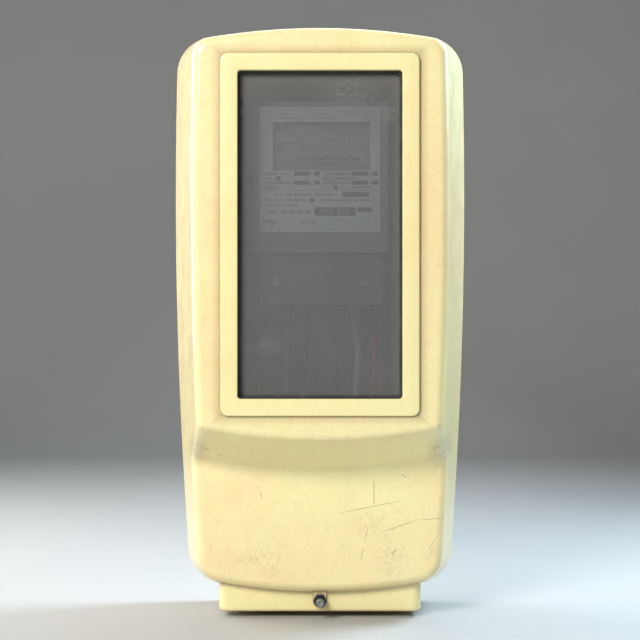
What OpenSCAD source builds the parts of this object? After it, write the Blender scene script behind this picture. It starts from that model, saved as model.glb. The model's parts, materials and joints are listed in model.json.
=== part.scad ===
// Outdoor electricity meter in its weather box.
// A windowed cover hangs on a top hinge in front of a shallow wall box. The meter, its wiring
// and a connection block sit on a plate inside, and a sealing screw locks the cover's lower lip
// to the box's neck.
// X is to the right, Z is up and the wall is the plane y = 0. A depth is a distance out from the
// wall, so a depth of 20 lies at y = -20. The origin is the middle of the four wall fixings.

/* [Cover] */
// Half the width of the cover's rim at its widest
cover_half_w = 139.6; // [136:0.1:141]
// Height of the rim's top
cover_top = 282.8; // [282:0.1:284]
// Height of the rim's bottom
cover_bottom = -264; // [-265:0.1:-263]
// Depth of the rim, nearest the wall
rim_p = 17; // [16.8:0.1:18]
// Depth of the upper front face
upper_p = 142; // [141:0.5:143]
// Depth of the recessed lower panel
lower_p = 92; // [91:0.5:93]
// Thickness of the cover's wall
skin = 3; // [2.6:0.1:3.2]
// How far the sides lean in for each millimetre of depth
side_lean = 0.215; // [0.2:0.005:0.22]
// Radius along the front edges
edge_r = 9; // [7:0.5:10]
// Radius of the brow's bow across the front
brow_r = 538; // [530:1:545]
// Height of the brow at its middle
brow_z = -108; // [-110:1:-106]

/* [Window] */
// Width of the window opening
window_w = 144.6; // [142:0.1:146]
// Height of the window opening
window_h = 287.4; // [285:0.1:289]
// Height of the window's middle
window_z = 74.9; // [74:0.1:76]
// Width of the frame's border
frame_border = 15.2; // [14.5:0.1:15.5]
// How far the frame stands proud of the cover
frame_proud = 3; // [2:0.5:4]

/* [Hinge] */
// Depth of the hinge axis
hinge_p = 14; // [13.8:0.1:14.2]
// Height of the hinge axis
hinge_z = 269.8; // [269.4:0.1:270.2]
// Distance of each hinge from the middle
hinge_x = 50; // [45:1:55]
// Radius of the hinge pins
hinge_pin_r = 2.5; // [2:0.1:2.6]

/* [Wall box] */
// Horizontal distance between the wall fixings
wall_hole_dx = 200; // [196:1:204]
// Vertical distance between the wall fixings
wall_hole_dz = 380; // [370:1:390]
// Radius of the wall fixing holes
wall_hole_r = 3; // [2.5:0.1:3.5]
// Half the neck's width
neck_half_w = 93.5; // [92:0.5:94]
// Depth of the neck's front face
neck_p = 81; // [80.8:0.1:81.2]
// Height of the neck's underside
neck_bottom = -269; // [-272:0.5:-268]
// Radius of the two cable holes in the neck
cable_hole_r = 15; // [13:0.5:16]

/* [Sealing screw] */
// Radius of the screw's shank
seal_r = 2.5; // [2:0.1:2.5]
// Height of the screw's axis
seal_z = -258; // [-258.5:0.1:-257.5]

/* [Meter] */
// Half the width of the meter's case
meter_half_w = 61; // [61:0.5:62]
// Height of the meter's underside
meter_bottom = 14; // [13:0.5:14.5]
// Height of the meter's top
meter_top = 197; // [196:0.5:200]
// Depth of the meter's front face
meter_p = 111; // [110:0.5:112]
// Distance between neighbouring terminals
pitch = 20; // [20:0.1:20.2]
// Radius of the six wires
wire_r = 3; // [2.5:0.1:3]

/* [Hidden] */
$fn = 48;
running_fit = 0.05;
press_gap = 0.01;
joint_gap = 0.4;

// Rim outline: a wide arch at the top, bowed sides, a shallow arc below and round corners
arch_r = 633;
side_r = 4672;
side_mid_z = 121;
foot_r = 500;
top_corner_r = 36;
foot_corner_r = 34;
top_corner_shrink = 0.8;
foot_corner_shrink = 0.6;

// Section of the brow: a soft edge, a straight slope and a fillet at the lower panel
brow_soft_r = 8;
slope_angle = 35;
slope_fillet_r = 14;
slope_drop = upper_p - lower_p - brow_soft_r * (1 - sin(slope_angle))
    - slope_fillet_r * (1 - sin(slope_angle));
slope_reach = slope_drop * tan(slope_angle) + slope_fillet_r * cos(slope_angle)
    - brow_soft_r * (1 - cos(slope_angle));

// Levels inside the cover, as depths
pane_t = 3;
gasket_t = 3;
retainer_t = 2.5;
gasket_p = upper_p - skin - gasket_t;
pane_p = gasket_p - pane_t;
retainer_p = pane_p - retainer_t;

// Levels of the wall box
panel_t = 4;
tray_p = 13;
box_wall = 3;
inner_rim_p = 24;
neck_h = 41;
box_top = 261;
inner_rim_drop = 5.5;
plate_p = 20;
plate_t = 3;
plate_half_w = 88;
plate_bottom = -222;
plate_top = 214;
plate_front = plate_p + plate_t;
plate_screw_x = 78;
plate_screw_z = [-208, 200];
entry_plug_z = -245;
entry_plug_r = 12;
grommet_x = 45;
grommet_p = 40;
grommet_bore_r = 9;

// Hinge parts along X, measured from each hinge's middle
knuckle_half = 11;
ear_t = 4;
knuckle_r = 5;
leaf_p = 26;
leaf_t = 3;

// Lock parts, as depths
tongue_p = 81.5;
tongue_t = 2;
tongue_half_w = 5.8;
bush_t = 3;
insert_length = 8;
insert_r = 4;
washer_p = 91.9;
washer_t = 1.2;
head_p = 93.2;
head_t = 4.6;
head_r = 3.7;

// Meter levels, as depths and heights
case_wall = 2.5;
case_split_p = 72;
chamber_p = 66;
chamber_top = 60.4;
partition_z = 57.6;
terminal_x = [for (i = [-2.5:1:2.5]) i * pitch];
terminal_p = 50;
terminal_hole_r = 3.5;
terminal_screw_r = 3;
terminal_screw_z = [27, 42];
bar_w = 7;
bar_t = 2.5;
bar_p = 44;
bar_top = 112;
outer_bar_shift = 2.5;
board_p = 96;
board_t = 1.6;
case_post_x = 55;
case_post_z = [67, 190.5];
board_post_x = [-43, 44.5];
board_post_z = [71, 186];
display_x = 1.5;
display_z = 156.2;
display_w = 87.5;
display_h = 43.6;
nameplate_w = 108.3;
nameplate_h = 112.8;
nameplate_z = 135.5;
meter_fixing_x = 20;
meter_fixing_z = 24;
cover_screw_x = 40;
cover_screw_z = 34;
terminal_cover_p = 106;
terminal_cover_half_w = 56.8;

// Connection block
block_z = [-216, -178];
block_p = 62;
block_tunnel_p = 46;
block_screw_z = [-207, -187];
block_lug_x = 63;
block_lug_z = -197;
clamp_z = -120;
clamp_half_w = 72;
clamp_screw_x = 69;
wire_clamp_p = 48;
clamp_gap = 0.15;
clamp_t = 2.5;

// The wires' routes: heights shared by all six, then each wire's own sideways places
route_z = [46, 8, -30, -66, -120, -160, -176, -196];
route_p = [50, 50, 54, 52, 48, 46.5, 46, 46];
red_left_x = [-50, -50, -58, -57, -53, -50.5, -50, -50];
white_left_x = [-30, -30, -32, -32.5, -32, -30.5, -30, -30];
black_left_x = [-10, -10, -14, -16, -14, -10.5, -10, -10];
black_right_x = [10, 10, 13.5, 14.5, 13, 10.5, 10, 10];
white_right_x = [30, 30, 36, 34, 32, 30.5, 30, 30];
red_right_x = [50, 50, 51, 50.5, 50, 50, 50, 50];

cream = [0.96, 0.86, 0.6];
steel = [0.62, 0.64, 0.67];
brass = [0.8, 0.66, 0.3];
copper = [0.78, 0.45, 0.28];
rubber_black = [0.1, 0.1, 0.11];
case_grey = [0.55, 0.56, 0.55];
board_green = [0.1, 0.36, 0.2];

// ---------- Building helpers ----------

// A flat shape drawn in X and Z, made solid between two depths
module slab(from, to) {
    translate([0, -from, 0]) rotate([90, 0, 0]) linear_extrude(to - from) children();
}

module block(x, p, z) {
    translate([x[0], -p[1], z[0]]) cube([x[1] - x[0], p[1] - p[0], z[1] - z[0]]);
}

module rod_x(x, p, z, r) {
    translate([x[0], -p, z]) rotate([0, 90, 0]) cylinder(r = r, h = x[1] - x[0]);
}

module rod_y(x, p, z, r) {
    translate([x, -p[0], z]) rotate([90, 0, 0]) cylinder(r = r, h = p[1] - p[0]);
}

module rod_z(x, p, z, r) {
    translate([x, -p, z[0]]) cylinder(r = r, h = z[1] - z[0]);
}

// A pan-head screw along Y whose head faces away from the wall
module screw(x, z, under_head, tip, shank_r, head_r, head_t) {
    rod_y(x, [tip, under_head + 0.1], z, shank_r);
    rod_y(x, [under_head, under_head + head_t], z, head_r);
}

// The two ends of a span about its middle
function around(middle, half) = [middle - half, middle + half];

function arc(c, r, from, to, n) =
    [for (i = [0:n]) c + r * [cos(from + (to - from) * i / n), sin(from + (to - from) * i / n)]];

function round_rect(w, h, r) = concat(
    arc([w / 2 - r, h / 2 - r], r, 0, 90, 6),
    arc([r - w / 2, h / 2 - r], r, 90, 180, 6),
    arc([r - w / 2, r - h / 2], r, 180, 270, 6),
    arc([w / 2 - r, r - h / 2], r, 270, 360, 6));

module ring(outer_w, outer_h, outer_r, inner_w, inner_h, inner_r) {
    translate([0, window_z]) difference() {
        polygon(round_rect(outer_w, outer_h, outer_r));
        polygon(round_rect(inner_w, inner_h, inner_r));
    }
}

// Where two circles cross, on the left of the line from the first centre to the second
function crossing(c1, r1, c2, r2) =
    let (d = c2 - c1, l = norm(d), u = d / l, a = (r1 * r1 - r2 * r2 + l * l) / (2 * l))
    c1 + a * u + sqrt(r1 * r1 - a * a) * [-u[1], u[0]];

function angle_from(c, q) = atan2(q[1] - c[1], q[0] - c[0]);

// The rim outline drawn inward by an inset, as arcs that meet smoothly
function right_half(inset) =
    let (
        arch_c = [0, cover_top - arch_r],
        side_c = [cover_half_w - side_r, side_mid_z],
        foot_c = [0, cover_bottom + foot_r],
        r1 = top_corner_r - top_corner_shrink * inset,
        r2 = foot_corner_r - foot_corner_shrink * inset,
        c1 = crossing(side_c, side_r - inset - r1, arch_c, arch_r - inset - r1),
        c2 = crossing(foot_c, foot_r - inset - r2, side_c, side_r - inset - r2),
        t1 = angle_from(arch_c, c1),
        s1 = angle_from(side_c, c1),
        s2 = angle_from(side_c, c2),
        b2 = angle_from(foot_c, c2)
    )
    concat(
        arc(arch_c, arch_r - inset, 90, t1, 6),
        arc(c1, r1, t1 - 10, s1 + 8, 5),
        arc(side_c, side_r - inset, s1, s2, 8),
        arc(c2, r2, s2 - 8, b2 + 10, 5),
        arc(foot_c, foot_r - inset, b2, -90, 6));

function outline(inset) =
    let (half = right_half(inset), n = len(half))
    concat(half, [for (i = [n - 2:-1:1]) [-half[i][0], half[i][1]]]);

function side_inset(p) = (p - rim_p) * side_lean;

// Depth and inset of each layer of a shell whose front face is at a depth. wall is 0 on the
// outside and the wall's thickness inside
function shell_layers(front, wall, grow) =
    let (round_p = front - edge_r, lean = side_inset(round_p) + wall - grow, r = edge_r - wall)
    concat([[rim_p - wall / 3, wall - grow]],
        [for (a = [0:30:90]) [round_p + r * sin(a), lean + grow + r * (1 - cos(a)) - (a == 0 ? grow : 0)]]);

// Convex body through the layers
module bowl(front, wall, grow = 0) {
    hull() for (layer = shell_layers(front, wall, grow))
        slab(layer[0] - 0.01, layer[0]) polygon(outline(layer[1]));
}

// Everything above the brow: a disc whose rim is the bowed brow, with a soft edge in front and a
// slope down to the lower panel
module brow_disc(wall) {
    soft_c = [brow_r - brow_soft_r, upper_p - brow_soft_r];
    fillet_c = [brow_r + slope_reach, lower_p + slope_fillet_r];
    translate([0, 0, brow_z + brow_r]) rotate([90, 0, 0]) rotate_extrude($fn = 180) polygon(concat(
        [[0, 50], [0, upper_p - wall + 1], [soft_c[0] - 1, upper_p - wall + 1]],
        arc(soft_c, brow_soft_r - wall, 90, slope_angle, 4),
        arc(fillet_c, slope_fillet_r + wall, 180 + slope_angle, 270, 5),
        [[fillet_c[0], 50]]));
}

module cover_volume(wall) {
    intersection() {
        bowl(upper_p, wall);
        union() {
            brow_disc(wall);
            bowl(lower_p, wall, 1);
        }
    }
}

// ---------- Wall box ----------

module below(z) {
    intersection() {
        children();
        translate([-200, -400]) square([400, 400 + z]);
    }
}

module tray_outline(inset, top) {
    below(top) polygon(outline(inset));
}

module rim_wall(inset, thickness, top) {
    difference() {
        tray_outline(inset, top);
        tray_outline(inset + thickness, top - thickness);
    }
}

module neck_plan(side, front) {
    polygon(concat([[-side, 0]],
        arc([8 - side, -front + 8], 8, 180, 270, 5),
        arc([side - 8, -front + 8], 8, 270, 360, 5),
        [[side, 0]]));
}

module base_box() {
    color(cream) difference() {
        union() {
            slab(0, panel_t) tray_outline(1.5, box_top);
            slab(0, panel_t) translate([-neck_half_w, neck_bottom]) square([2 * neck_half_w, neck_h]);
            slab(0, tray_p) rim_wall(1.5, box_wall, box_top);
            slab(0, inner_rim_p) rim_wall(8, box_wall - 0.5, box_top - inner_rim_drop);
            for (x = [-plate_screw_x, plate_screw_x], z = plate_screw_z) rod_y(x, [1, plate_p], z, 6);
            for (side = [-1, 1], end = [-1, 1]) {
                ear_x = side * hinge_x + end * (knuckle_half + joint_gap + ear_t / 2);
                rod_x(around(ear_x, ear_t / 2), hinge_p, hinge_z, knuckle_r);
                block(around(ear_x, ear_t / 2), around(hinge_p, knuckle_r),
                    [box_top - inner_rim_drop - 1, hinge_z]);
            }
        }
        block([-neck_half_w, neck_half_w], [panel_t, neck_p], [neck_bottom - 1, neck_bottom + neck_h]);
        for (x = [-1, 1] * wall_hole_dx / 2, z = [-1, 1] * wall_hole_dz / 2)
            rod_y(x, [-1, panel_t + 1], z, wall_hole_r);
        for (x = [-plate_screw_x, plate_screw_x], z = plate_screw_z) rod_y(x, [8, plate_p + 1], z, 1.8);
        rod_y(0, [-1, panel_t + 1], entry_plug_z, entry_plug_r);
        for (side = [-1, 1])
            rod_x(around(side * hinge_x, 20), hinge_p, hinge_z, hinge_pin_r + press_gap);
    }
}

module cable_neck() {
    color(cream) difference() {
        intersection() {
            translate([0, 0, neck_bottom]) linear_extrude(neck_h) neck_plan(neck_half_w, neck_p);
            block(around(0, neck_half_w), [panel_t, neck_p], [neck_bottom, neck_bottom + neck_h]);
        }
        translate([0, 0, neck_bottom - 1]) linear_extrude(neck_h + 2)
            neck_plan(neck_half_w - box_wall, neck_p - box_wall);
        rod_y(0, [neck_p - box_wall - 1, neck_p + 1], seal_z, insert_r);
    }
}

// Floor of the neck, with the two cable holes
module entry_plate() {
    color(cream) difference() {
        intersection() {
            translate([0, 0, neck_bottom]) linear_extrude(box_wall)
                neck_plan(neck_half_w - box_wall, neck_p - box_wall);
            block(around(0, neck_half_w), [panel_t, neck_p], [neck_bottom, neck_bottom + box_wall]);
        }
        for (x = [-grommet_x, grommet_x])
            rod_z(x, grommet_p, [neck_bottom - 1, neck_bottom + box_wall + 1], cable_hole_r);
    }
}

module hinge_pins() {
    reach = knuckle_half + joint_gap + ear_t;
    color(steel) for (side = [-1, 1]) {
        rod_x(around(side * hinge_x, reach), hinge_p, hinge_z, hinge_pin_r);
        head_x = side * hinge_x + side * (reach + 0.75);
        rod_x(around(head_x, 0.75), hinge_p, hinge_z, hinge_pin_r + 1);
    }
}

// Flanged brass nut behind the neck's front wall
module seal_screw_insert() {
    color(brass) difference() {
        union() {
            rod_y(0, [neck_p - insert_length, neck_p], seal_z, insert_r);
            rod_y(0, [neck_p - insert_length, neck_p - box_wall], seal_z, insert_r + 2);
        }
        rod_y(0, [neck_p - insert_length - 1, neck_p + 1], seal_z, seal_r + running_fit);
    }
}

module cable_grommets() {
    wall_z = [neck_bottom, neck_bottom + box_wall];
    color(rubber_black) for (x = [-grommet_x, grommet_x]) difference() {
        union() {
            rod_z(x, grommet_p, wall_z, cable_hole_r);
            rod_z(x, grommet_p, [wall_z[0] - 2, wall_z[0]], cable_hole_r + 3);
            rod_z(x, grommet_p, [wall_z[1], wall_z[1] + 2.5], cable_hole_r + 2);
        }
        rod_z(x, grommet_p, [wall_z[0] - 3, wall_z[1] + 4], grommet_bore_r);
    }
}

module rear_entry_plug() {
    color(rubber_black) {
        rod_y(0, [0.5, panel_t], entry_plug_z, entry_plug_r);
        rod_y(0, [panel_t, panel_t + 2], entry_plug_z, entry_plug_r + 2.5);
    }
}

// Foam strip down both sides and round the lower corners, under the cover's rim
module base_gasket() {
    color(rubber_black) difference() {
        slab(tray_p, rim_p - joint_gap) difference() {
            tray_outline(0.8, 250);
            polygon(outline(4.8));
        }
        block([-neck_half_w - 2, neck_half_w + 2], [0, 30], [neck_bottom - 1, -220]);
    }
}

module mounting_plate() {
    color(steel) difference() {
        block([-plate_half_w, plate_half_w], [plate_p, plate_front], [plate_bottom, plate_top]);
        for (x = [-plate_screw_x, plate_screw_x], z = plate_screw_z)
            rod_y(x, [plate_p - 1, plate_front + 1], z, 2.3);
        for (x = [-meter_fixing_x, meter_fixing_x])
            rod_y(x, [plate_p - 1, plate_front + 1], meter_fixing_z, 2.05);
        rod_y(0, [plate_p - 1, plate_front + 1], meter_top + 8, 2.05);
        for (x = [-block_lug_x, block_lug_x])
            rod_y(x, [plate_p - 1, plate_front + 1], block_lug_z, 2.05);
    }
}

module mounting_plate_screws() {
    color(steel) for (x = [-plate_screw_x, plate_screw_x], z = plate_screw_z)
        screw(x, z, plate_front, 10, 1.75, 4.2, 2.6);
}

// ---------- Meter ----------

module meter_back_case() {
    color(case_grey) difference() {
        union() {
            difference() {
                block([-meter_half_w, meter_half_w], [plate_front, case_split_p],
                    [meter_bottom, meter_top]);
                block([case_wall - meter_half_w, meter_half_w - case_wall],
                    [plate_front + case_wall, case_split_p + 1],
                    [meter_bottom + case_wall, meter_top - case_wall]);
                block([-meter_half_w - 1, meter_half_w + 1], [chamber_p, case_split_p + 1],
                    [meter_bottom - 1, chamber_top]);
            }
            block(around(0, meter_half_w - 1), [plate_front + 1, chamber_p], [partition_z, chamber_top]);
            block(around(0, meter_half_w - 1), [plate_front + 1, case_split_p],
                [chamber_top, chamber_top + case_wall]);
            for (x = [-case_post_x, case_post_x], z = case_post_z)
                rod_y(x, [plate_front + 1, case_split_p], z, 3.6);
            block([-9, 9], [plate_front, plate_front + 4], [meter_top - 1, meter_top + 15]);
        }
        for (x = [-case_post_x, case_post_x], z = case_post_z) {
            rod_y(x, [plate_front - 1, case_split_p + 1], z, 1.7);
            rod_y(x, [plate_front - 1, plate_front + 5], z, 3);
        }
        for (x = terminal_x) rod_z(x, terminal_p, [meter_bottom - 1, meter_bottom + 4], 4.2);
        for (i = [0:5]) block(bar_x(i) + [-0.3, 0.3], [bar_p - 0.3, bar_p + bar_t + 0.3],
            [partition_z - 1, chamber_top + case_wall + 1]);
        for (x = [-meter_fixing_x, meter_fixing_x])
            rod_y(x, [plate_front - 1, plate_front + 4], meter_fixing_z, 2.4);
        rod_y(0, [plate_front - 1, plate_front + 5], meter_top + 8, 2.4);
    }
}

module display_opening(from, to, gap) {
    block([display_x - display_w / 2 + gap, display_x + display_w / 2 - gap], [from, to],
        [display_z - display_h / 2 + gap, display_z + display_h / 2 - gap]);
}

module meter_front_case() {
    color(case_grey) difference() {
        union() {
            difference() {
                block([-meter_half_w, meter_half_w], [case_split_p, meter_p], [chamber_top, meter_top]);
                block([case_wall - meter_half_w, meter_half_w - case_wall],
                    [case_split_p - 1, meter_p - case_wall],
                    [chamber_top + case_wall, meter_top - case_wall]);
            }
            for (x = [-case_post_x, case_post_x], z = case_post_z)
                rod_y(x, [case_split_p, meter_p - 1], z, 3.6);
            for (x = board_post_x, z = board_post_z) rod_y(x, [board_p + board_t, meter_p - 1], z, 3);
        }
        for (x = [-case_post_x, case_post_x], z = case_post_z)
            rod_y(x, [case_split_p - 1, 90], z, 1.55);
        for (x = board_post_x, z = board_post_z) rod_y(x, [board_p, meter_p - 4], z, 1.1);
        display_opening(meter_p - case_wall - 1, meter_p + 1, 0);
    }
}

module meter_case_screws() {
    color(steel) for (x = [-case_post_x, case_post_x], z = case_post_z) {
        rod_y(x, [plate_front + 2, plate_front + 5], z, 2.8);
        rod_y(x, [plate_front + 4, 86], z, 1.5);
    }
}

module meter_hanger_screw() {
    color(steel) screw(0, meter_top + 8, plate_front + 4, 12, 2, 4.2, 2.8);
}

module meter_fixing_screws() {
    color(steel) for (x = [-meter_fixing_x, meter_fixing_x])
        screw(x, meter_fixing_z, plate_front + case_wall, 12, 2, 3.9, 2.8);
}

module nameplate() {
    color("gainsboro") difference() {
        block([-nameplate_w / 2, nameplate_w / 2], [meter_p, meter_p + 0.6],
            [nameplate_z - nameplate_h / 2, nameplate_z + nameplate_h / 2]);
        display_opening(meter_p - 1, meter_p + 2, 0);
    }
}

module lcd_lens() {
    color([0.8, 0.85, 0.85, 0.5]) display_opening(meter_p - case_wall, meter_p + 0.4, 0.2);
}

module lcd_module() {
    color("darkseagreen") block([display_x - 46, display_x + 46], [board_p + board_t, 107.5],
        [display_z - 24, display_z + 24]);
}

module main_circuit_board() {
    color(board_green) difference() {
        block([-48, 49.5], [board_p, board_p + board_t], [65, 191]);
        for (x = board_post_x, z = board_post_z) rod_y(x, [board_p - 1, board_p + 3], z, 1.3);
    }
}

module circuit_board_screws() {
    color(steel) for (x = board_post_x, z = board_post_z) {
        rod_y(x, [board_p - 1.8, board_p], z, 2.4);
        rod_y(x, [board_p - 0.1, board_p + 8], z, 1);
    }
}

module communication_module() {
    color("slategray") block([2, 48], [81, board_p], [90, 165]);
}

module power_transformer() {
    color("goldenrod") {
        block([-46, -14], [76, 92], [128, 158]);
        block([-39, -21], [72, board_p], [133, 153]);
    }
}

module smoothing_capacitors() {
    color("midnightblue") for (x = [-38, -20]) rod_y(x, [75, board_p], 108, 6.5);
}

module backup_battery() {
    color("lightsteelblue") {
        rod_x([-43, -14], 87.9, 176, 8);
        rod_x([-14, -13], 87.9, 176, 3);
    }
}

module disconnect_relay() {
    color("dimgray") block([-46, 46], [plate_front + case_wall, 58], [bar_top, 158]);
}

// Toroids round the incoming bar of each live line
module current_transformers() {
    color("darkslategray") for (x = [-terminal_x[5] + outer_bar_shift, -terminal_x[3]])
        translate([x, -bar_p - bar_t / 2, 76]) rotate_extrude()
            translate([6.6, 0]) square([4, 14]);
}

function bar_middle(i) = terminal_x[i] + (i == 0 ? outer_bar_shift : i == 5 ? -outer_bar_shift : 0);
function bar_x(i) = [bar_middle(i) - bar_w / 2, bar_middle(i) + bar_w / 2];

module bus_bars() {
    color(copper) for (i = [0:5]) block(bar_x(i), [bar_p, bar_p + bar_t], [23, bar_top]);
}

module meter_terminal_block() {
    half_w = 3 * pitch - 2.6;
    color("saddlebrown") difference() {
        block([-half_w, half_w], [plate_front + case_wall + 0.2, chamber_p],
            [meter_bottom + case_wall, partition_z]);
        for (x = terminal_x) {
            rod_z(x, terminal_p, [meter_bottom, 48], terminal_hole_r);
            for (z = terminal_screw_z)
                rod_y(x, [terminal_p + 1, chamber_p + 1], z, terminal_screw_r + 0.1);
        }
        for (i = [0:5]) block(bar_x(i) + [-0.3, 0.3], [bar_p - 0.3, bar_p + bar_t + 0.3],
            [22, partition_z + 1]);
        for (x = [-meter_fixing_x, meter_fixing_x])
            rod_y(x, [plate_front, chamber_p + 1], meter_fixing_z, 4.2);
        for (x = [-cover_screw_x, cover_screw_x]) rod_y(x, [54, chamber_p + 1], cover_screw_z, 1.65);
    }
}

module meter_terminal_screws() {
    color(brass) for (x = terminal_x, z = terminal_screw_z)
        rod_y(x, [terminal_p + wire_r + 0.2, 63], z, terminal_screw_r);
}

module terminal_cover() {
    half_w = terminal_cover_half_w;
    top = chamber_top - 0.8;
    back = chamber_p + joint_gap;
    color([0.35, 0.32, 0.3]) difference() {
        block([-half_w, half_w], [back, terminal_cover_p], [meter_bottom, top]);
        block([2 - half_w, half_w - 2], [back - 1, terminal_cover_p - 2], [meter_bottom + 2, top - 2]);
        for (x = [-cover_screw_x, cover_screw_x])
            rod_y(x, [terminal_cover_p - 3, terminal_cover_p + 1], cover_screw_z, 1.9);
    }
}

module terminal_cover_screws() {
    color(steel) for (x = [-cover_screw_x, cover_screw_x])
        screw(x, cover_screw_z, terminal_cover_p, 56, 1.6, 3.8, 2.4);
}

// ---------- Wires ----------

function route(xs) = [for (i = [0:len(xs) - 1]) [xs[i], -route_p[i], route_z[i]]];

// Point at t along the smooth curve through four neighbouring points
function blend(a, b, c, d, t) = 0.5 * (2 * b + (c - a) * t + (2 * a - 5 * b + 4 * c - d) * t * t
    + (3 * b - a - 3 * c + d) * t * t * t);

function smooth(pts, steps) = let (n = len(pts)) concat(
    [for (i = [0:n - 2], s = [0:steps - 1])
        blend(pts[max(i - 1, 0)], pts[i], pts[i + 1], pts[min(i + 2, n - 1)], s / steps)],
    [pts[n - 1]]);

// A tube through points that run mostly down, with flat ends
module tube(pts, r, sides) {
    n = len(pts);
    rings = [for (i = [0:n - 1])
        let (
            ahead = pts[min(i + 1, n - 1)] - pts[max(i - 1, 0)],
            t = i == 0 || i == n - 1 ? [0, 0, -1] : ahead / norm(ahead),
            u = cross(t, [0, 1, 0]) / norm(cross(t, [0, 1, 0])),
            v = cross(t, u)
        )
        for (k = [0:sides - 1]) pts[i] + r * (cos(360 * k / sides) * u + sin(360 * k / sides) * v)];
    walls = [for (i = [0:n - 2], k = [0:sides - 1])
        let (a = i * sides + k, b = i * sides + (k + 1) % sides) [a, b, b + sides, a + sides]];
    ends = [[for (k = [sides - 1:-1:0]) k], [for (k = [0:sides - 1]) (n - 1) * sides + k]];
    polyhedron(rings, concat(walls, ends), convexity = 4);
}

module wire(xs, tint) {
    color(tint) tube(smooth(route(xs), 2), wire_r, 8);
}

module wire_red_left() wire(red_left_x, "firebrick");
module wire_white_left() wire(white_left_x, "whitesmoke");
module wire_black_left() wire(black_left_x, "dimgray");
module wire_black_right() wire(black_right_x, "dimgray");
module wire_white_right() wire(white_right_x, "whitesmoke");
module wire_red_right() wire(red_right_x, "firebrick");

module wire_support() {
    color(rubber_black) difference() {
        union() {
            block([-clamp_half_w, clamp_half_w], [plate_front, wire_clamp_p - wire_r - clamp_gap],
                [clamp_z - 6, clamp_z + 6]);
            for (side = [-1, 1]) block(around(side * clamp_screw_x, 3),
                [plate_front, wire_clamp_p + wire_r + clamp_gap], [clamp_z - 6, clamp_z + 6]);
        }
        for (side = [-1, 1]) rod_y(side * clamp_screw_x, [38, 60], clamp_z, 1.3);
    }
}

module wire_clamp() {
    color(steel) difference() {
        slab(wire_clamp_p + wire_r + clamp_gap, wire_clamp_p + wire_r + clamp_gap + clamp_t)
            translate([-clamp_half_w, clamp_z - 5]) square([2 * clamp_half_w, 10]);
        for (side = [-1, 1]) rod_y(side * clamp_screw_x, [45, 60], clamp_z, 1.5);
    }
}

module wire_clamp_screws() {
    color(steel) for (side = [-1, 1])
        screw(side * clamp_screw_x, clamp_z, wire_clamp_p + wire_r + clamp_gap + clamp_t, 40, 1.2, 2.8, 2);
}

module connection_block() {
    half_w = 3 * pitch - 3;
    color(case_grey) difference() {
        union() {
            block([-half_w, half_w], [plate_front, block_p], block_z);
            for (side = [-1, 1]) block(around(side * block_lug_x, 6.2), [plate_front, plate_front + 7],
                [block_lug_z - 6, block_lug_z + 6]);
        }
        for (x = terminal_x) {
            rod_z(x, block_tunnel_p, block_z + [-1, 1], terminal_hole_r);
            for (z = block_screw_z)
                rod_y(x, [block_tunnel_p + 1, block_p + 1], z, terminal_screw_r + 0.1);
        }
        for (side = [-1, 1]) rod_y(side * block_lug_x, [plate_front - 1, plate_front + 8], block_lug_z, 2.3);
    }
}

module connection_block_terminals() {
    color(brass) for (x = terminal_x, z = block_screw_z)
        rod_y(x, [block_tunnel_p + wire_r + 0.2, block_p - 2.5], z, terminal_screw_r);
}

module connection_block_screws() {
    color(steel) for (side = [-1, 1])
        screw(side * block_lug_x, block_lug_z, plate_front + 7, 12, 2, 3.9, 2.8);
}

// ---------- Cover ----------

function retainer_spots() = concat(
    [for (x = [-1, 1] * 82.5, z = [-100, 0, 100]) [x, window_z + z]],
    [for (x = [-36, 36], z = [-1, 1] * (window_h / 2 + 9.3)) [x, window_z + z]]);

module cover_shell() {
    hole_w = window_w + 7.4;
    hole_h = window_h + 7.6;
    color(cream) difference() {
        union() {
            difference() {
                cover_volume(0);
                cover_volume(skin);
            }
            intersection() {
                bowl(upper_p, 0);
                for (side = [-1, 1]) block(around(side * hinge_x, 12),
                    [leaf_p + leaf_t, leaf_p + leaf_t + 14], [252, cover_top + 5]);
            }
        }
        slab(upper_p - 8, upper_p + 8) translate([0, window_z]) polygon(round_rect(hole_w, hole_h, 6));
        block([-neck_half_w - 2.5, neck_half_w + 2.5], [0, neck_p + 3], [-280, -236]);
        for (spot = retainer_spots()) rod_y(spot[0], [upper_p - 8, upper_p + 1], spot[1], 3.7);
        for (side = [-1, 1], dx = [-6, 6])
            rod_y(side * hinge_x + dx, [leaf_p, leaf_p + leaf_t + 11], 259, 1.3);
        for (z = [-215, -205]) rod_y(0, [lower_p - skin - 1, lower_p - 1], z, 1.25);
    }
}

module window_frame() {
    color(cream) difference() {
        union() {
            slab(upper_p, upper_p + frame_proud) ring(window_w + 2 * frame_border,
                window_h + 2 * frame_border + 0.7, 7, window_w, window_h, 3.5);
            slab(upper_p - skin, upper_p) ring(window_w + 6.8, window_h + 7, 5.8, window_w, window_h, 3.5);
            for (spot = retainer_spots()) rod_y(spot[0], [pane_p + 1.5, upper_p + 1], spot[1], 3.4);
        }
        for (spot = retainer_spots()) rod_y(spot[0], [pane_p, upper_p + 0.5], spot[1], 1.3);
    }
}

module window_gasket() {
    color(rubber_black) slab(gasket_p, upper_p - skin)
        ring(window_w + 11.4, window_h + 11.6, 7, window_w - 4.4, window_h - 4.4, 3);
}

module window_pane() {
    color([0.35, 0.35, 0.35, 0.6]) slab(pane_p, gasket_p)
        translate([0, window_z]) polygon(round_rect(window_w + 9.4, window_h + 9.6, 6));
}

module window_retainer() {
    color(steel) difference() {
        slab(retainer_p, pane_p)
            ring(window_w + 29.4, window_h + 29.6, 8, window_w + 1.4, window_h + 1.6, 4);
        for (spot = retainer_spots()) rod_y(spot[0], [retainer_p - 1, pane_p + 1], spot[1], 1.7);
    }
}

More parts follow.
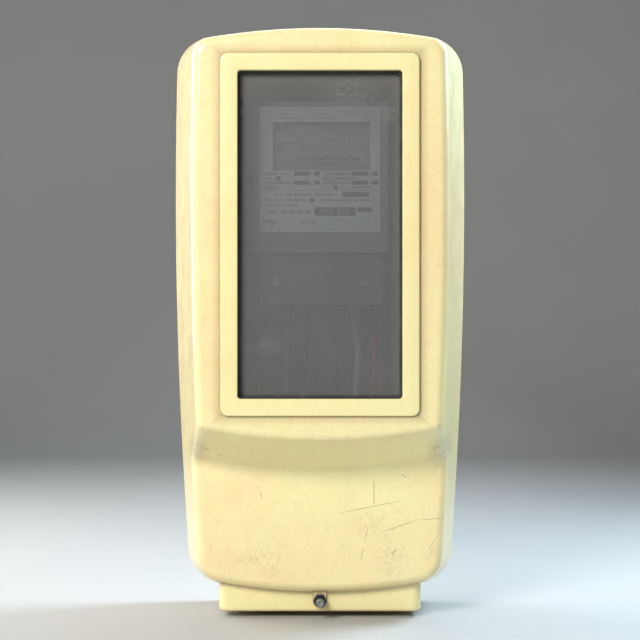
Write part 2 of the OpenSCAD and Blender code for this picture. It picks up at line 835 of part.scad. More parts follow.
module window_retainer_screws() {
    color(steel) for (spot = retainer_spots()) {
        rod_y(spot[0], [retainer_p - 2.2, retainer_p], spot[1], 3.2);
        rod_y(spot[0], [retainer_p - 0.1, upper_p - 2], spot[1], 1.2);
    }
}

module hinge_leaves() {
    color(steel) for (side = [-1, 1]) difference() {
        union() {
            rod_x(around(side * hinge_x, knuckle_half), hinge_p, hinge_z, knuckle_r);
            block(around(side * hinge_x, knuckle_half), [hinge_p, leaf_p + leaf_t],
                [hinge_z - 3, hinge_z]);
            block(around(side * hinge_x, 12), [leaf_p, leaf_p + leaf_t], [253, hinge_z]);
        }
        rod_x(around(side * hinge_x, knuckle_half + 1), hinge_p, hinge_z,
            hinge_pin_r + running_fit);
        for (dx = [-6, 6]) rod_y(side * hinge_x + dx, [leaf_p - 1, leaf_p + leaf_t + 1], 259, 1.7);
    }
}

module hinge_leaf_screws() {
    color(steel) for (side = [-1, 1], dx = [-6, 6]) {
        rod_y(side * hinge_x + dx, [leaf_p - 2, leaf_p], 259, 2.9);
        rod_y(side * hinge_x + dx, [leaf_p - 0.1, leaf_p + leaf_t + 9], 259, 1.2);
    }
}

// Steel strip that hangs from inside the cover's lip over the neck's front
module lock_tongue() {
    lip_p = lower_p - skin;
    half = [-tongue_half_w, tongue_half_w];
    color(cream) difference() {
        union() {
            block(half, [tongue_p, tongue_p + tongue_t], [-262, -222]);
            rod_y(0, [tongue_p, tongue_p + tongue_t], seal_z - 0.7, tongue_half_w);
            block(half, [tongue_p, lip_p], [-224, -222]);
            block(half, [lip_p - tongue_t, lip_p], [-224, -199]);
        }
        rod_y(0, [tongue_p - 1, tongue_p + tongue_t + 1], seal_z, insert_r);
        for (z = [-215, -205]) rod_y(0, [lip_p - tongue_t - 1, lip_p + 1], z, 1.5);
    }
}

module lock_tongue_screws() {
    under = lower_p - skin - tongue_t;
    color(steel) for (z = [-215, -205]) {
        rod_y(0, [under - 2, under], z, 2.6);
        rod_y(0, [under - 0.1, under + 3.8], z, 1.2);
    }
}

// Hexagonal bush that guides the sealing screw through the tongue
module lock_bush() {
    front = tongue_p + tongue_t;
    color([0.25, 0.27, 0.3]) difference() {
        union() {
            translate([0, -front, seal_z]) rotate([90, 0, 0]) cylinder(r = 6.2, h = bush_t, $fn = 6);
            rod_y(0, [tongue_p, front + 0.5], seal_z, insert_r);
        }
        rod_y(0, [tongue_p - 1, front + bush_t + 1], seal_z, seal_r + running_fit);
    }
}

module seal_screw_washer() {
    color(brass) difference() {
        rod_y(0, [washer_p, washer_p + washer_t], seal_z, head_r);
        rod_y(0, [washer_p - 1, washer_p + washer_t + 1], seal_z, seal_r + running_fit);
    }
}

// The head has a cross hole for a seal wire
module seal_screw() {
    color(steel) difference() {
        union() {
            rod_y(0, [neck_p + joint_gap, head_p + 0.1], seal_z, seal_r);
            rod_y(0, [head_p, head_p + head_t], seal_z, head_r);
        }
        rod_x([-5, 5], head_p + head_t / 2, seal_z, 0.8);
    }
}

base_box();
cable_neck();
entry_plate();
hinge_pins();
seal_screw_insert();
cable_grommets();
rear_entry_plug();
base_gasket();
mounting_plate();
mounting_plate_screws();
meter_back_case();
meter_front_case();
meter_case_screws();
meter_hanger_screw();
meter_fixing_screws();
nameplate();
lcd_lens();
lcd_module();
main_circuit_board();
circuit_board_screws();
communication_module();
power_transformer();
smoothing_capacitors();
backup_battery();
disconnect_relay();
current_transformers();
bus_bars();
meter_terminal_block();
meter_terminal_screws();
wire_red_left();
wire_white_left();
wire_black_left();
wire_black_right();
wire_white_right();
wire_red_right();
wire_support();
wire_clamp();
wire_clamp_screws();
connection_block();
connection_block_terminals();
connection_block_screws();
cover_shell();
window_frame();
window_gasket();
window_pane();
window_retainer();
window_retainer_screws();
hinge_leaves();
hinge_leaf_screws();
lock_tongue();
lock_tongue_screws();
lock_bush();
seal_screw_washer();
seal_screw();
terminal_cover();
terminal_cover_screws();
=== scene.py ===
"""Looks of a smart electric meter in its weather box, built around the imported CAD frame.

Everything is in metres, in the CAD's frame: X right, Z up, and the wall at y = 0 with the front
towards -Y. A depth is a distance out from the wall.
"""

import json
import math

import bmesh
import bpy
import numpy as np
from mathutils import Matrix, Vector

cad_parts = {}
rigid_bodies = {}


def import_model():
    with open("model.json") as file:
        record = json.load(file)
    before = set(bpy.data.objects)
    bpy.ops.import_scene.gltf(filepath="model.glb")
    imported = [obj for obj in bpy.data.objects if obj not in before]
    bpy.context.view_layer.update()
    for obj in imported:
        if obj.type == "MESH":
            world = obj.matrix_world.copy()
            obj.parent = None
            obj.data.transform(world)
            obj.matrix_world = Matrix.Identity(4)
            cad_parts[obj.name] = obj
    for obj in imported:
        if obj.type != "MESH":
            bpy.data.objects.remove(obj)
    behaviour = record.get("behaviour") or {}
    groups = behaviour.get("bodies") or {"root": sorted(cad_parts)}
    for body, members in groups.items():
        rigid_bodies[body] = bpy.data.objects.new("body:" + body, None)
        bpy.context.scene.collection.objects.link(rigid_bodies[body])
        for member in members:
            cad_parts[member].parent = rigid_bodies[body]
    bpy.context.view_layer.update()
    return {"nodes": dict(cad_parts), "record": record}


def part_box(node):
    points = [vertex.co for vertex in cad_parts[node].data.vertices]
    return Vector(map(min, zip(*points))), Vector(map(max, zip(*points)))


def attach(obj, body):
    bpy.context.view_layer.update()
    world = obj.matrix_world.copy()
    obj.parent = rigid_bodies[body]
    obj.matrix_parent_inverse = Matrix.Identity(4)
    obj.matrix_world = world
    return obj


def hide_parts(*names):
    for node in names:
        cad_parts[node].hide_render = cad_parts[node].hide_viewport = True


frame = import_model()
NODES = frame["nodes"]
MM = 0.001

# ---------------------------------------------------------------- camera, floor and lights

CAMERA_DISTANCE = 1.2
FRAME_WIDTH = 0.56  # what the picture spans at the cover's front
FLOOR_Z = -0.2745


def depth_of(node, nearest=True):
    """Depth of a node's face nearest to the viewer, or nearest to the wall."""
    low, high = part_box(node)
    return -low.y if nearest else -high.y


def middle_z(node):
    low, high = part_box(node)
    return (low.z + high.z) / 2


FRONT = depth_of("window_frame")

camera_data = bpy.data.cameras.new("camera")
camera_data.sensor_width = 36
camera_data.lens = 36 * CAMERA_DISTANCE / FRAME_WIDTH
camera = bpy.data.objects.new("camera", camera_data)
camera.location = (0, -FRONT - CAMERA_DISTANCE, 0)
camera.rotation_euler = (math.radians(90), 0, 0)
bpy.context.scene.collection.objects.link(camera)
bpy.context.scene.camera = camera


def area_light(name, location, target, size, power, color=(1, 1, 1)):
    data = bpy.data.lights.new(name, "AREA")
    data.shape = "RECTANGLE"
    data.size, data.size_y = size
    data.energy = power
    data.color = color
    light = bpy.data.objects.new(name, data)
    light.location = location
    aim = Vector(target) - Vector(location)
    light.rotation_euler = aim.to_track_quat("-Z", "Y").to_euler()
    light.visible_camera = False
    bpy.context.scene.collection.objects.link(light)
    return light


area_light("key", (-1.0, -1.7, 1.05), (0, -0.1, 0.0), (0.8, 0.8), 47, (1.0, 0.99, 0.97))
area_light("fill", (1.0, -1.7, 0.0), (0, -0.1, 0), (1.2, 1.2), 2.5, (0.96, 0.98, 1.0))
area_light("rim_right", (0.70, 0.20, 0.60), (0.13, -0.08, 0.18), (0.35, 0.5), 18, (0.66, 0.84, 1.0))
area_light("rim_left", (-0.95, 0.25, 0.45), (-0.13, -0.08, 0.0), (0.8, 1.2), 14, (1.0, 1.0, 0.97))
area_light("rim_top", (0, 0.45, 0.85), (0, -0.08, 0.27), (0.9, 0.3), 3, (1.0, 1.0, 1.0))

world = bpy.data.worlds.new("studio")
world.use_nodes = True
world.node_tree.nodes["Background"].inputs["Color"].default_value = (0.82, 0.83, 0.85, 1)
world.node_tree.nodes["Background"].inputs["Strength"].default_value = 0.16
bpy.context.scene.world = world
bpy.context.scene.view_settings.view_transform = "Standard"


# ---------------------------------------------------------------- material helpers


class Shader:
    """A material under construction: each call adds one node and returns its output."""

    def __init__(self, name):
        self.material = bpy.data.materials.new(name)
        self.material.use_nodes = True
        self.tree = self.material.node_tree
        self.principled = self.tree.nodes["Principled BSDF"]
        self.output = self.tree.nodes["Material Output"]
        self.coords = self.tree.nodes.new("ShaderNodeTexCoord").outputs["Object"]

    def put(self, value, socket):
        if isinstance(value, bpy.types.NodeSocket):
            self.tree.links.new(value, socket)
        elif isinstance(value, (tuple, list)) and len(value) == 3 and socket.type == "RGBA":
            socket.default_value = (*value, 1)
        else:
            socket.default_value = value

    def set(self, **values):
        for key, value in values.items():
            self.put(value, self.principled.inputs[key.replace("_", " ")])
        return self.material

    def noise(self, scale, detail=6, roughness=0.6, stretch=(1, 1, 1), distortion=0.0, offset=(0, 0, 0)):
        mapping = self.tree.nodes.new("ShaderNodeMapping")
        mapping.inputs["Scale"].default_value = stretch
        mapping.inputs["Location"].default_value = offset
        self.tree.links.new(self.coords, mapping.inputs["Vector"])
        node = self.tree.nodes.new("ShaderNodeTexNoise")
        self.tree.links.new(mapping.outputs["Vector"], node.inputs["Vector"])
        node.inputs["Scale"].default_value = scale
        node.inputs["Detail"].default_value = detail
        node.inputs["Roughness"].default_value = roughness
        node.inputs["Distortion"].default_value = distortion
        return node.outputs["Fac"]

    def cells(self, scale, stretch=(1, 1, 1), feature="F1"):
        mapping = self.tree.nodes.new("ShaderNodeMapping")
        mapping.inputs["Scale"].default_value = stretch
        self.tree.links.new(self.coords, mapping.inputs["Vector"])
        node = self.tree.nodes.new("ShaderNodeTexVoronoi")
        node.feature = feature
        self.tree.links.new(mapping.outputs["Vector"], node.inputs["Vector"])
        node.inputs["Scale"].default_value = scale
        return node.outputs["Distance"]

    def fit(self, value, low, high, to_low=0.0, to_high=1.0):
        node = self.tree.nodes.new("ShaderNodeMapRange")
        self.tree.links.new(value, node.inputs["Value"])
        for name, number in zip(("From Min", "From Max", "To Min", "To Max"), (low, high, to_low, to_high)):
            node.inputs[name].default_value = number
        return node.outputs["Result"]

    def math(self, operation, a, b=0.0):
        node = self.tree.nodes.new("ShaderNodeMath")
        node.operation = operation
        self.put(a, node.inputs[0])
        self.put(b, node.inputs[1])
        return node.outputs["Value"]

    def mix(self, share, a, b, blend="MIX"):
        node = self.tree.nodes.new("ShaderNodeMix")
        node.data_type = "RGBA"
        node.blend_type = blend
        self.put(share, node.inputs[0])
        self.put(a, node.inputs[6])
        self.put(b, node.inputs[7])
        return node.outputs[2]

    def axis(self, name):
        node = self.tree.nodes.new("ShaderNodeSeparateXYZ")
        self.tree.links.new(self.coords, node.inputs["Vector"])
        return node.outputs[name]

    def hollow(self, distance, samples=4):
        """0 in crevices and 1 in the open."""
        node = self.tree.nodes.new("ShaderNodeAmbientOcclusion")
        node.samples = samples
        node.inputs["Distance"].default_value = distance
        return node.outputs["AO"]

    def bump(self, height, strength, distance=0.001, round_edges=0.0):
        node = self.tree.nodes.new("ShaderNodeBump")
        node.inputs["Strength"].default_value = strength
        node.inputs["Distance"].default_value = distance
        self.tree.links.new(height, node.inputs["Height"])
        if round_edges:
            bevel = self.tree.nodes.new("ShaderNodeBevel")
            bevel.samples = 4
            bevel.inputs["Radius"].default_value = round_edges
            self.tree.links.new(bevel.outputs["Normal"], node.inputs["Normal"])
        self.tree.links.new(node.outputs["Normal"], self.principled.inputs["Normal"])


# ---------------------------------------------------------------- mesh helpers


def make_object(name, vertices, faces, material, body, replaced=(), smooth=True):
    mesh = bpy.data.meshes.new(name)
    mesh.from_pydata([tuple(v) for v in vertices], [], faces)
    mesh.validate()
    mesh.update()
    obj = bpy.data.objects.new(name, mesh)
    bpy.context.scene.collection.objects.link(obj)
    return dress(obj, material, body, replaced, smooth)


def dress(obj, material, body, replaced=(), smooth=True):
    obj.data.materials.clear()
    obj.data.materials.append(material)
    if smooth:
        obj.data.polygons.foreach_set("use_smooth", [True] * len(obj.data.polygons))
    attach(obj, body)
    if replaced:
        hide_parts(*replaced)
    return obj


def apply_modifiers(obj):
    """Puts the modifiers' result in the mesh itself."""
    graph = bpy.context.evaluated_depsgraph_get()
    mesh = bpy.data.meshes.new_from_object(obj.evaluated_get(graph))
    old = obj.data
    obj.modifiers.clear()
    obj.data = mesh
    mesh.name = obj.name
    bpy.data.meshes.remove(old)


def recalculate(obj):
    work = bmesh.new()
    work.from_mesh(obj.data)
    bmesh.ops.recalc_face_normals(work, faces=work.faces)
    work.to_mesh(obj.data)
    work.free()


def sharpen(obj, degrees=35):
    """Smooth shading that breaks at edges sharper than the angle."""
    limit = math.radians(degrees)
    work = bmesh.new()
    work.from_mesh(obj.data)
    for edge in work.edges:
        edge.smooth = len(edge.link_faces) == 2 and edge.calc_face_angle(0) < limit
    for face in work.faces:
        face.smooth = True
    work.to_mesh(obj.data)
    work.free()


def arc_points(center, radius, start, end, count):
    angles = np.radians(np.linspace(start, end, count + 1))
    return [(center[0] + radius * math.cos(a), center[1] + radius * math.sin(a)) for a in angles]


def round_rect(width, height, radius, count=8):
    """Corner-rounded rectangle about the origin, as (x, z) points."""
    radius = max(radius, 1e-5)
    x, z = width / 2 - radius, height / 2 - radius
    points = []
    for sx, sz, start in ((1, 1, 0), (-1, 1, 90), (-1, -1, 180), (1, -1, 270)):
        points += arc_points((sx * x, sz * z), radius, start, start + 90, count)
    return points


def loft(rings, closed_profile=False, caps=(False, False)):
    """Faces between rings of equal length; rings are lists of points."""
    n = len(rings[0])
    vertices = [p for ring in rings for p in ring]
    faces = []
    last = len(rings) if closed_profile else len(rings) - 1
    for i in range(last):
        a, b = i * n, ((i + 1) % len(rings)) * n
        faces += [(a + k, a + (k + 1) % n, b + (k + 1) % n, b + k) for k in range(n)]
    if caps[0]:
        faces.append(tuple(range(n - 1, -1, -1)))
    if caps[1]:
        faces.append(tuple((len(rings) - 1) * n + k for k in range(n)))
    return vertices, faces


def border(name, width, height, radius, center_z, profile, material, body, replaced=()):
    """A frame swept round a rounded rectangle. profile holds (inset, depth) points of its section."""
    rings = []
    for inset, depth in profile:
        outline = round_rect(width - 2 * inset, height - 2 * inset, max(radius - inset, 0.003))
        rings.append([(x, -depth, center_z + z) for x, z in outline])
    vertices, faces = loft(rings, closed_profile=True)
    obj = make_object(name, vertices, faces, material, body, replaced)
    recalculate(obj)
    sharpen(obj, 40)
    return obj


def lathe(name, profile, origin, axis, material, body, replaced=(), count=48, sides=None):
    """A turned piece. profile holds (radius, distance along the axis) points, ends on the axis
    or closes on itself."""
    axis = Vector(axis).normalized()
    side = axis.orthogonal().normalized() if sides is None else Vector(sides)
    up = axis.cross(side)
    rings = []
    for radius, along in profile:
        ring = []
        for k in range(count):
            a = 2 * math.pi * k / count
            out = side * math.cos(a) + up * math.sin(a)
            ring.append(tuple(Vector(origin) + axis * along + out * max(radius, 1e-6)))
        rings.append(ring)
    open_ends = profile[0][0] < 1e-5
    vertices, faces = loft(rings, closed_profile=not open_ends, caps=(open_ends, open_ends))
    obj = make_object(name, vertices, faces, material, body, replaced)
    recalculate(obj)
    sharpen(obj, 35)
    return obj


def bevelled_box(low, high, bevel, segments=3):
    """bmesh of a box with rounded edges."""
    work = bmesh.new()
    size = Vector(high) - Vector(low)
    middle = (Vector(high) + Vector(low)) / 2
    bmesh.ops.create_cube(work, size=1, matrix=Matrix.Translation(middle) @ Matrix.Diagonal((*size, 1)))
    bmesh.ops.bevel(work, geom=work.edges[:], offset=bevel, segments=segments, profile=0.5, affect="EDGES")
    return work


def boolean(obj, cutter, operation="DIFFERENCE"):
    modifier = obj.modifiers.new("cut", "BOOLEAN")
    modifier.operation = operation
    modifier.solver = "EXACT"
    modifier.object = cutter
    apply_modifiers(obj)
    bpy.data.objects.remove(cutter)


def cutter_box(low, high):
    work = bevelled_box(low, high, 1e-5, 1)
    mesh = bpy.data.meshes.new("cutter")
    work.to_mesh(mesh)
    work.free()
    obj = bpy.data.objects.new("cutter", mesh)
    bpy.context.scene.collection.objects.link(obj)
    return obj


# ---------------------------------------------------------------- the cover's surface

COVER_LOW, COVER_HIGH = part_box("cover_shell")
RIM = -COVER_HIGH.y
UPPER = -COVER_LOW.y
TOP = COVER_HIGH.z
HALF_W = COVER_HIGH.x
FOOT = -0.264
LOWER = 0.092
SKIN = 0.003
LEAN = 0.215
EDGE_R = 0.009
SIDE_MID = 0.121
ARCH_R, FOOT_R, SIDE_R = 0.633, 0.500, 4.672
TOP_CORNER, FOOT_CORNER = 0.036, 0.034
TOP_SHRINK, FOOT_SHRINK = 0.8, 0.6
BROW_R, BROW_Z = 0.538, -0.108
BROW_SOFT, SLOPE_FILLET = 0.008, 0.014
SLOPE = math.radians(35)
BAND = 0.037  # the last inset that is followed as a ring
CORNER_BAND = 0.062  # what a corner takes of the arch and the foot
CORNER_TOP, CORNER_LOW = 0.058, 0.066  # and of the sides
NOTCH_HALF = 0.096
NOTCH_DEPTH = 0.084


def front_depth(x, z):
    """Depth of the front face: the upper face, the brow's soft edge, the slope below it and the
    lower panel."""
    s = np.hypot(x, z - (BROW_Z + BROW_R)) - BROW_R
    soft_end = -BROW_SOFT * (1 - math.cos(SLOPE))
    soft_p = UPPER - BROW_SOFT * (1 - math.sin(SLOPE))
    fillet_p = LOWER + SLOPE_FILLET * (1 - math.sin(SLOPE))
    fillet_s = soft_end + (soft_p - fillet_p) * math.tan(SLOPE)
    foot_s = fillet_s + SLOPE_FILLET * math.cos(SLOPE)
    soft = UPPER - BROW_SOFT + np.sqrt(
        np.clip(BROW_SOFT**2 - np.clip(s + BROW_SOFT, 0, BROW_SOFT) ** 2, 0, None))
    line = soft_p - (s - soft_end) / math.tan(SLOPE)
    fillet = LOWER + SLOPE_FILLET - np.sqrt(
        np.clip(SLOPE_FILLET**2 - np.clip(foot_s - s, 0, SLOPE_FILLET) ** 2, 0, None))
    return np.where(s < soft_end, soft, np.where(s < fillet_s, line, fillet))


def cover_depth(inset, front):
    """Depth of the surface at an inset from the rim: the leaning side, the round edge, the front."""
    tilt = math.atan(LEAN)
    round_p = front - EDGE_R
    round_d = LEAN * (round_p - RIM) + EDGE_R / math.cos(tilt)
    tangent_d = round_d - EDGE_R * math.cos(tilt)
    side = RIM + inset / LEAN
    edge = round_p + np.sqrt(np.clip(EDGE_R**2 - (round_d - inset) ** 2, 0, None))
    return np.where(inset >= round_d, front, np.where(inset <= tangent_d, side, edge))


def crossing(c1, r1, c2, r2):
    """Where two circles cross, on the left of the line from the first centre to the second."""
    span = Vector(c2) - Vector(c1)
    along = (r1 * r1 - r2 * r2 + span.length_squared) / (2 * span.length)
    u = span.normalized()
    return Vector(c1) + u * along + Vector((-u.y, u.x)) * math.sqrt(r1 * r1 - along * along)


class Ring:
    """The rim's outline drawn inward by an inset, on its right half."""

    def __init__(self, inset):
        self.inset = inset
        self.arch_c = (0, TOP - ARCH_R)
        self.side_c = (HALF_W - SIDE_R, SIDE_MID)
        self.foot_c = (0, FOOT + FOOT_R)
        self.top_r = TOP_CORNER - TOP_SHRINK * inset
        self.foot_r = FOOT_CORNER - FOOT_SHRINK * inset
        self.top_c = crossing(self.side_c, SIDE_R - inset - self.top_r,
                              self.arch_c, ARCH_R - inset - self.top_r)
        self.low_c = crossing(self.foot_c, FOOT_R - inset - self.foot_r,
                              self.side_c, SIDE_R - inset - self.foot_r)

    def side_x(self, z):
        return self.side_c[0] + math.sqrt((SIDE_R - self.inset) ** 2 - (z - SIDE_MID) ** 2)

    def arch_z(self, x):
        return self.arch_c[1] + math.sqrt((ARCH_R - self.inset) ** 2 - x * x)

    def foot_z(self, x):
        return self.foot_c[1] - math.sqrt((FOOT_R - self.inset) ** 2 - x * x)

    def corner(self, top):
        """Points from the side, round the corner, to the arch or the foot, and the place of the
        middle of the corner's arc along them."""
        c, r = (self.top_c, self.top_r) if top else (self.low_c, self.foot_r)
        end_c = self.arch_c if top else self.foot_c
        out_side = Vector(c) - Vector(self.side_c)
        out_end = Vector(c) - Vector(end_c)
        a0 = math.atan2(out_side.y, out_side.x)
        a1 = math.atan2(out_end.y, out_end.x)
        arc = [(c[0] + r * math.cos(a), c[1] + r * math.sin(a)) for a in np.linspace(a0, a1, 61)]
        z0 = TOP - CORNER_TOP if top else FOOT + CORNER_LOW
        x0 = HALF_W - CORNER_BAND
        side = [(self.side_x(z), z) for z in np.linspace(z0, arc[0][1], 20)[:-1]]
        end = [(x, self.arch_z(x) if top else self.foot_z(x)) for x in np.linspace(arc[-1][0], x0, 20)[1:]]
        return np.array(side + arc + end), len(side) + 30


def along(points, first, last, shares):
    """Points at shares of the way between two places on a polyline."""
    part = points[first:last + 1]
    lengths = np.concatenate([[0], np.cumsum(np.hypot(*np.diff(part, axis=0).T))])
    at = np.asarray(shares) * lengths[-1]
    return np.stack([np.interp(at, lengths, part[:, 0]), np.interp(at, lengths, part[:, 1])], axis=1)


def ring_row(inset, sides, top_x, foot_x, top_share, foot_share):
    """One ring's points on the right half, from the foot's middle up to the arch's middle."""
    ring = Ring(inset)
    low, low_mid = ring.corner(False)
    high, high_mid = ring.corner(True)
    foot = [(x, ring.foot_z(x)) for x in foot_x]
    arch = [(x, ring.arch_z(x)) for x in top_x]
    low_end = along(low[::-1], 0, len(low) - 1 - low_mid, foot_share)
    low_side = along(low[::-1], len(low) - 1 - low_mid, len(low) - 1, foot_share)
    high_side = along(high, 0, high_mid, top_share)
    high_end = along(high, high_mid, len(high) - 1, top_share)
    side = [(ring.side_x(z), z) for z in sides]
    return np.concatenate([foot, low_end, low_side[1:], side, high_side, high_end[1:], arch[::-1]])


def cover_surface():
    """Points of the cover's outside: rings round the edge with their depths, then rows across."""
    insets = np.concatenate([np.linspace(0, 0.0125, 9)[:-1], np.linspace(0.0125, BAND, 42)])
    share = np.linspace(0, 1, 19)
    x_edge = HALF_W - CORNER_BAND
    foot_x = np.linspace(0, x_edge, 25)[:-1]
    top_x = foot_x
    low, high = FOOT + CORNER_LOW, TOP - CORNER_TOP
    brow_low, brow_high = BROW_Z - 0.034, BROW_Z + 0.022
    sides = np.concatenate([np.linspace(low, brow_low, 16)[1:-1], np.linspace(brow_low, brow_high, 96),
                            np.linspace(brow_high, high, 70)[1:-1]])
    rows = np.array([ring_row(d, sides, top_x, foot_x, share, share) for d in insets])
    depth = np.array([cover_depth(np.full(len(row), d), front_depth(row[:, 0], row[:, 1]))
                      for d, row in zip(insets, rows)])
    last = rows[-1]
    low_mid = len(foot_x) + len(share) - 1
    high_mid = len(last) - 1 - low_mid
    bottom, right, top = last[:low_mid + 1], last[low_mid:high_mid + 1], last[high_mid:][::-1]
    z_side = right[:, 1]
    v = (z_side - z_side[0]) / (z_side[-1] - z_side[0])
    up = np.clip((z_side + 0.06) / 0.26, 0, 1)
    up = up * up * (3 - 2 * up)
    middle = z_side - (1 - up) * (bottom[-1, 1] - bottom[0, 1]) + up * (top[0, 1] - top[-1, 1])
    u_low, u_high = bottom[:, 0] / bottom[-1, 0], top[:, 0] / top[-1, 0]
    bow_low = bottom[:, 1] - ((1 - u_low) * bottom[0, 1] + u_low * bottom[-1, 1])
    bow_high = top[:, 1] - ((1 - u_high) * top[0, 1] + u_high * top[-1, 1])
    inner = []
    for i in range(len(right)):
        u = (1 - v[i]) * u_low + v[i] * u_high
        z = (1 - u) * middle[i] + u * right[i, 1] + (1 - up[i]) * bow_low + up[i] * bow_high
        inner.append(np.stack([u * right[i, 0], z], axis=1))
    inner = np.array(inner)
    return rows, depth, inner


def build_cover(material):
    rows, depth, inner = cover_surface()
    work = bmesh.new()

    def side_faces(mirror):
        flip = -1 if mirror else 1
        n_rings, n = rows.shape[:2]
        ring_verts = [[work.verts.new((flip * x, -p, z)) for (x, z), p in zip(rows[k], depth[k])]
                      for k in range(n_rings)]
        for k in range(n_rings - 1):
            for i in range(n - 1):
                work.faces.new((ring_verts[k][i], ring_verts[k][i + 1],
                                ring_verts[k + 1][i + 1], ring_verts[k + 1][i]))
        face_p = front_depth(inner[..., 0], inner[..., 1])
        grid = [[work.verts.new((flip * x, -p, z)) for (x, z), p in zip(line, ps)]
                for line, ps in zip(inner, face_p)]
        window_mid = middle_z("window_frame")
        for i in range(len(grid) - 1):
            for j in range(len(grid[0]) - 1):
                x, z = (inner[i, j] + inner[i + 1, j + 1]) / 2
                if x > 0.0775 or abs(z - window_mid) > 0.149:
                    work.faces.new((grid[i][j], grid[i][j + 1], grid[i + 1][j + 1], grid[i + 1][j]))

    side_faces(False)
    side_faces(True)
    bmesh.ops.remove_doubles(work, verts=work.verts, dist=2e-5)
    bmesh.ops.delete(work, geom=[v for v in work.verts if not v.link_faces], context="VERTS")
    bmesh.ops.recalc_face_normals(work, faces=work.faces)
    if sum(f.normal.y * f.calc_area() for f in work.faces) > 0:
        bmesh.ops.reverse_faces(work, faces=work.faces)
    mesh = bpy.data.meshes.new("cover_shell_moulding")
    work.to_mesh(mesh)
    work.free()
    obj = bpy.data.objects.new("cover_shell_moulding", mesh)
    bpy.context.scene.collection.objects.link(obj)
    dress(obj, material, "cover", ("cover_shell",))
    solid = obj.modifiers.new("wall", "SOLIDIFY")
    solid.thickness = SKIN
    solid.offset = -1
    apply_modifiers(obj)
    boolean(obj, cutter_box((-NOTCH_HALF, -NOTCH_DEPTH, -0.3), (NOTCH_HALF, 0, -0.236)))
    sharpen(obj, 50)
    return obj

# ---------------------------------------------------------------- materials


def segment(s, start, end, width, fade=0.3):
    """1 on a thin straight mark between two (x, z) places on the front, fading to its ends."""
    (x0, z0), (x1, z1) = start, end
    length = math.hypot(x1 - x0, z1 - z0)
    ux, uz = (x1 - x0) / length, (z1 - z0) / length
    x, z = s.axis("X"), s.axis("Z")
    dx, dz = s.math("SUBTRACT", x, x0), s.math("SUBTRACT", z, z0)
    run = s.math("ADD", s.math("MULTIPLY", dx, ux), s.math("MULTIPLY", dz, uz))
    off = s.math("ABSOLUTE", s.math("SUBTRACT", s.math("MULTIPLY", dx, uz), s.math("MULTIPLY", dz, ux)))
    near = s.fit(off, width, 0.0)
    inside = s.math("MULTIPLY", s.fit(run, 0, length * fade), s.fit(run, length, length * (1 - fade)))
    return s.math("MULTIPLY", near, inside)


def blob(s, center, radii):
    """1 in the middle of an oval on the front, down to 0 at its rim."""
    x = s.math("DIVIDE", s.math("SUBTRACT", s.axis("X"), center[0]), radii[0])
    z = s.math("DIVIDE", s.math("SUBTRACT", s.axis("Z"), center[1]), radii[1])
    r = s.math("SQRT", s.math("ADD", s.math("MULTIPLY", x, x), s.math("MULTIPLY", z, z)))
    return s.fit(r, 1.0, 0.3)


def total(s, masks):
    result = masks[0]
    for mask in masks[1:]:
        result = s.math("MAXIMUM", result, mask)
    return result


CREAM = (0.90, 0.815, 0.405)
CREAM_WARM = (0.90, 0.755, 0.365)
CREAM_PALE = (0.92, 0.85, 0.46)
CREAM_PEACH = (0.90, 0.70, 0.36)


def border_shade_and_dirt(s, ragged):
    """1 where the cover meets the window's border, fading out about 8 mm away from it: painted shade of the
    raised border, mixed with dirt.
    """
    low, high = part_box("window_frame")
    x = s.math("SUBTRACT", s.math("ABSOLUTE", s.axis("X")), high.x)
    z = s.math("SUBTRACT", s.axis("Z"), (low.z + high.z) / 2)
    z = s.math("SUBTRACT", s.math("ABSOLUTE", z), (high.z - low.z) / 2)
    gap = s.math("ADD", s.math("MAXIMUM", x, z), s.math("MULTIPLY", ragged, 0.004))
    return s.math("POWER", s.fit(gap, 0.0115, 0.001), 1.35)


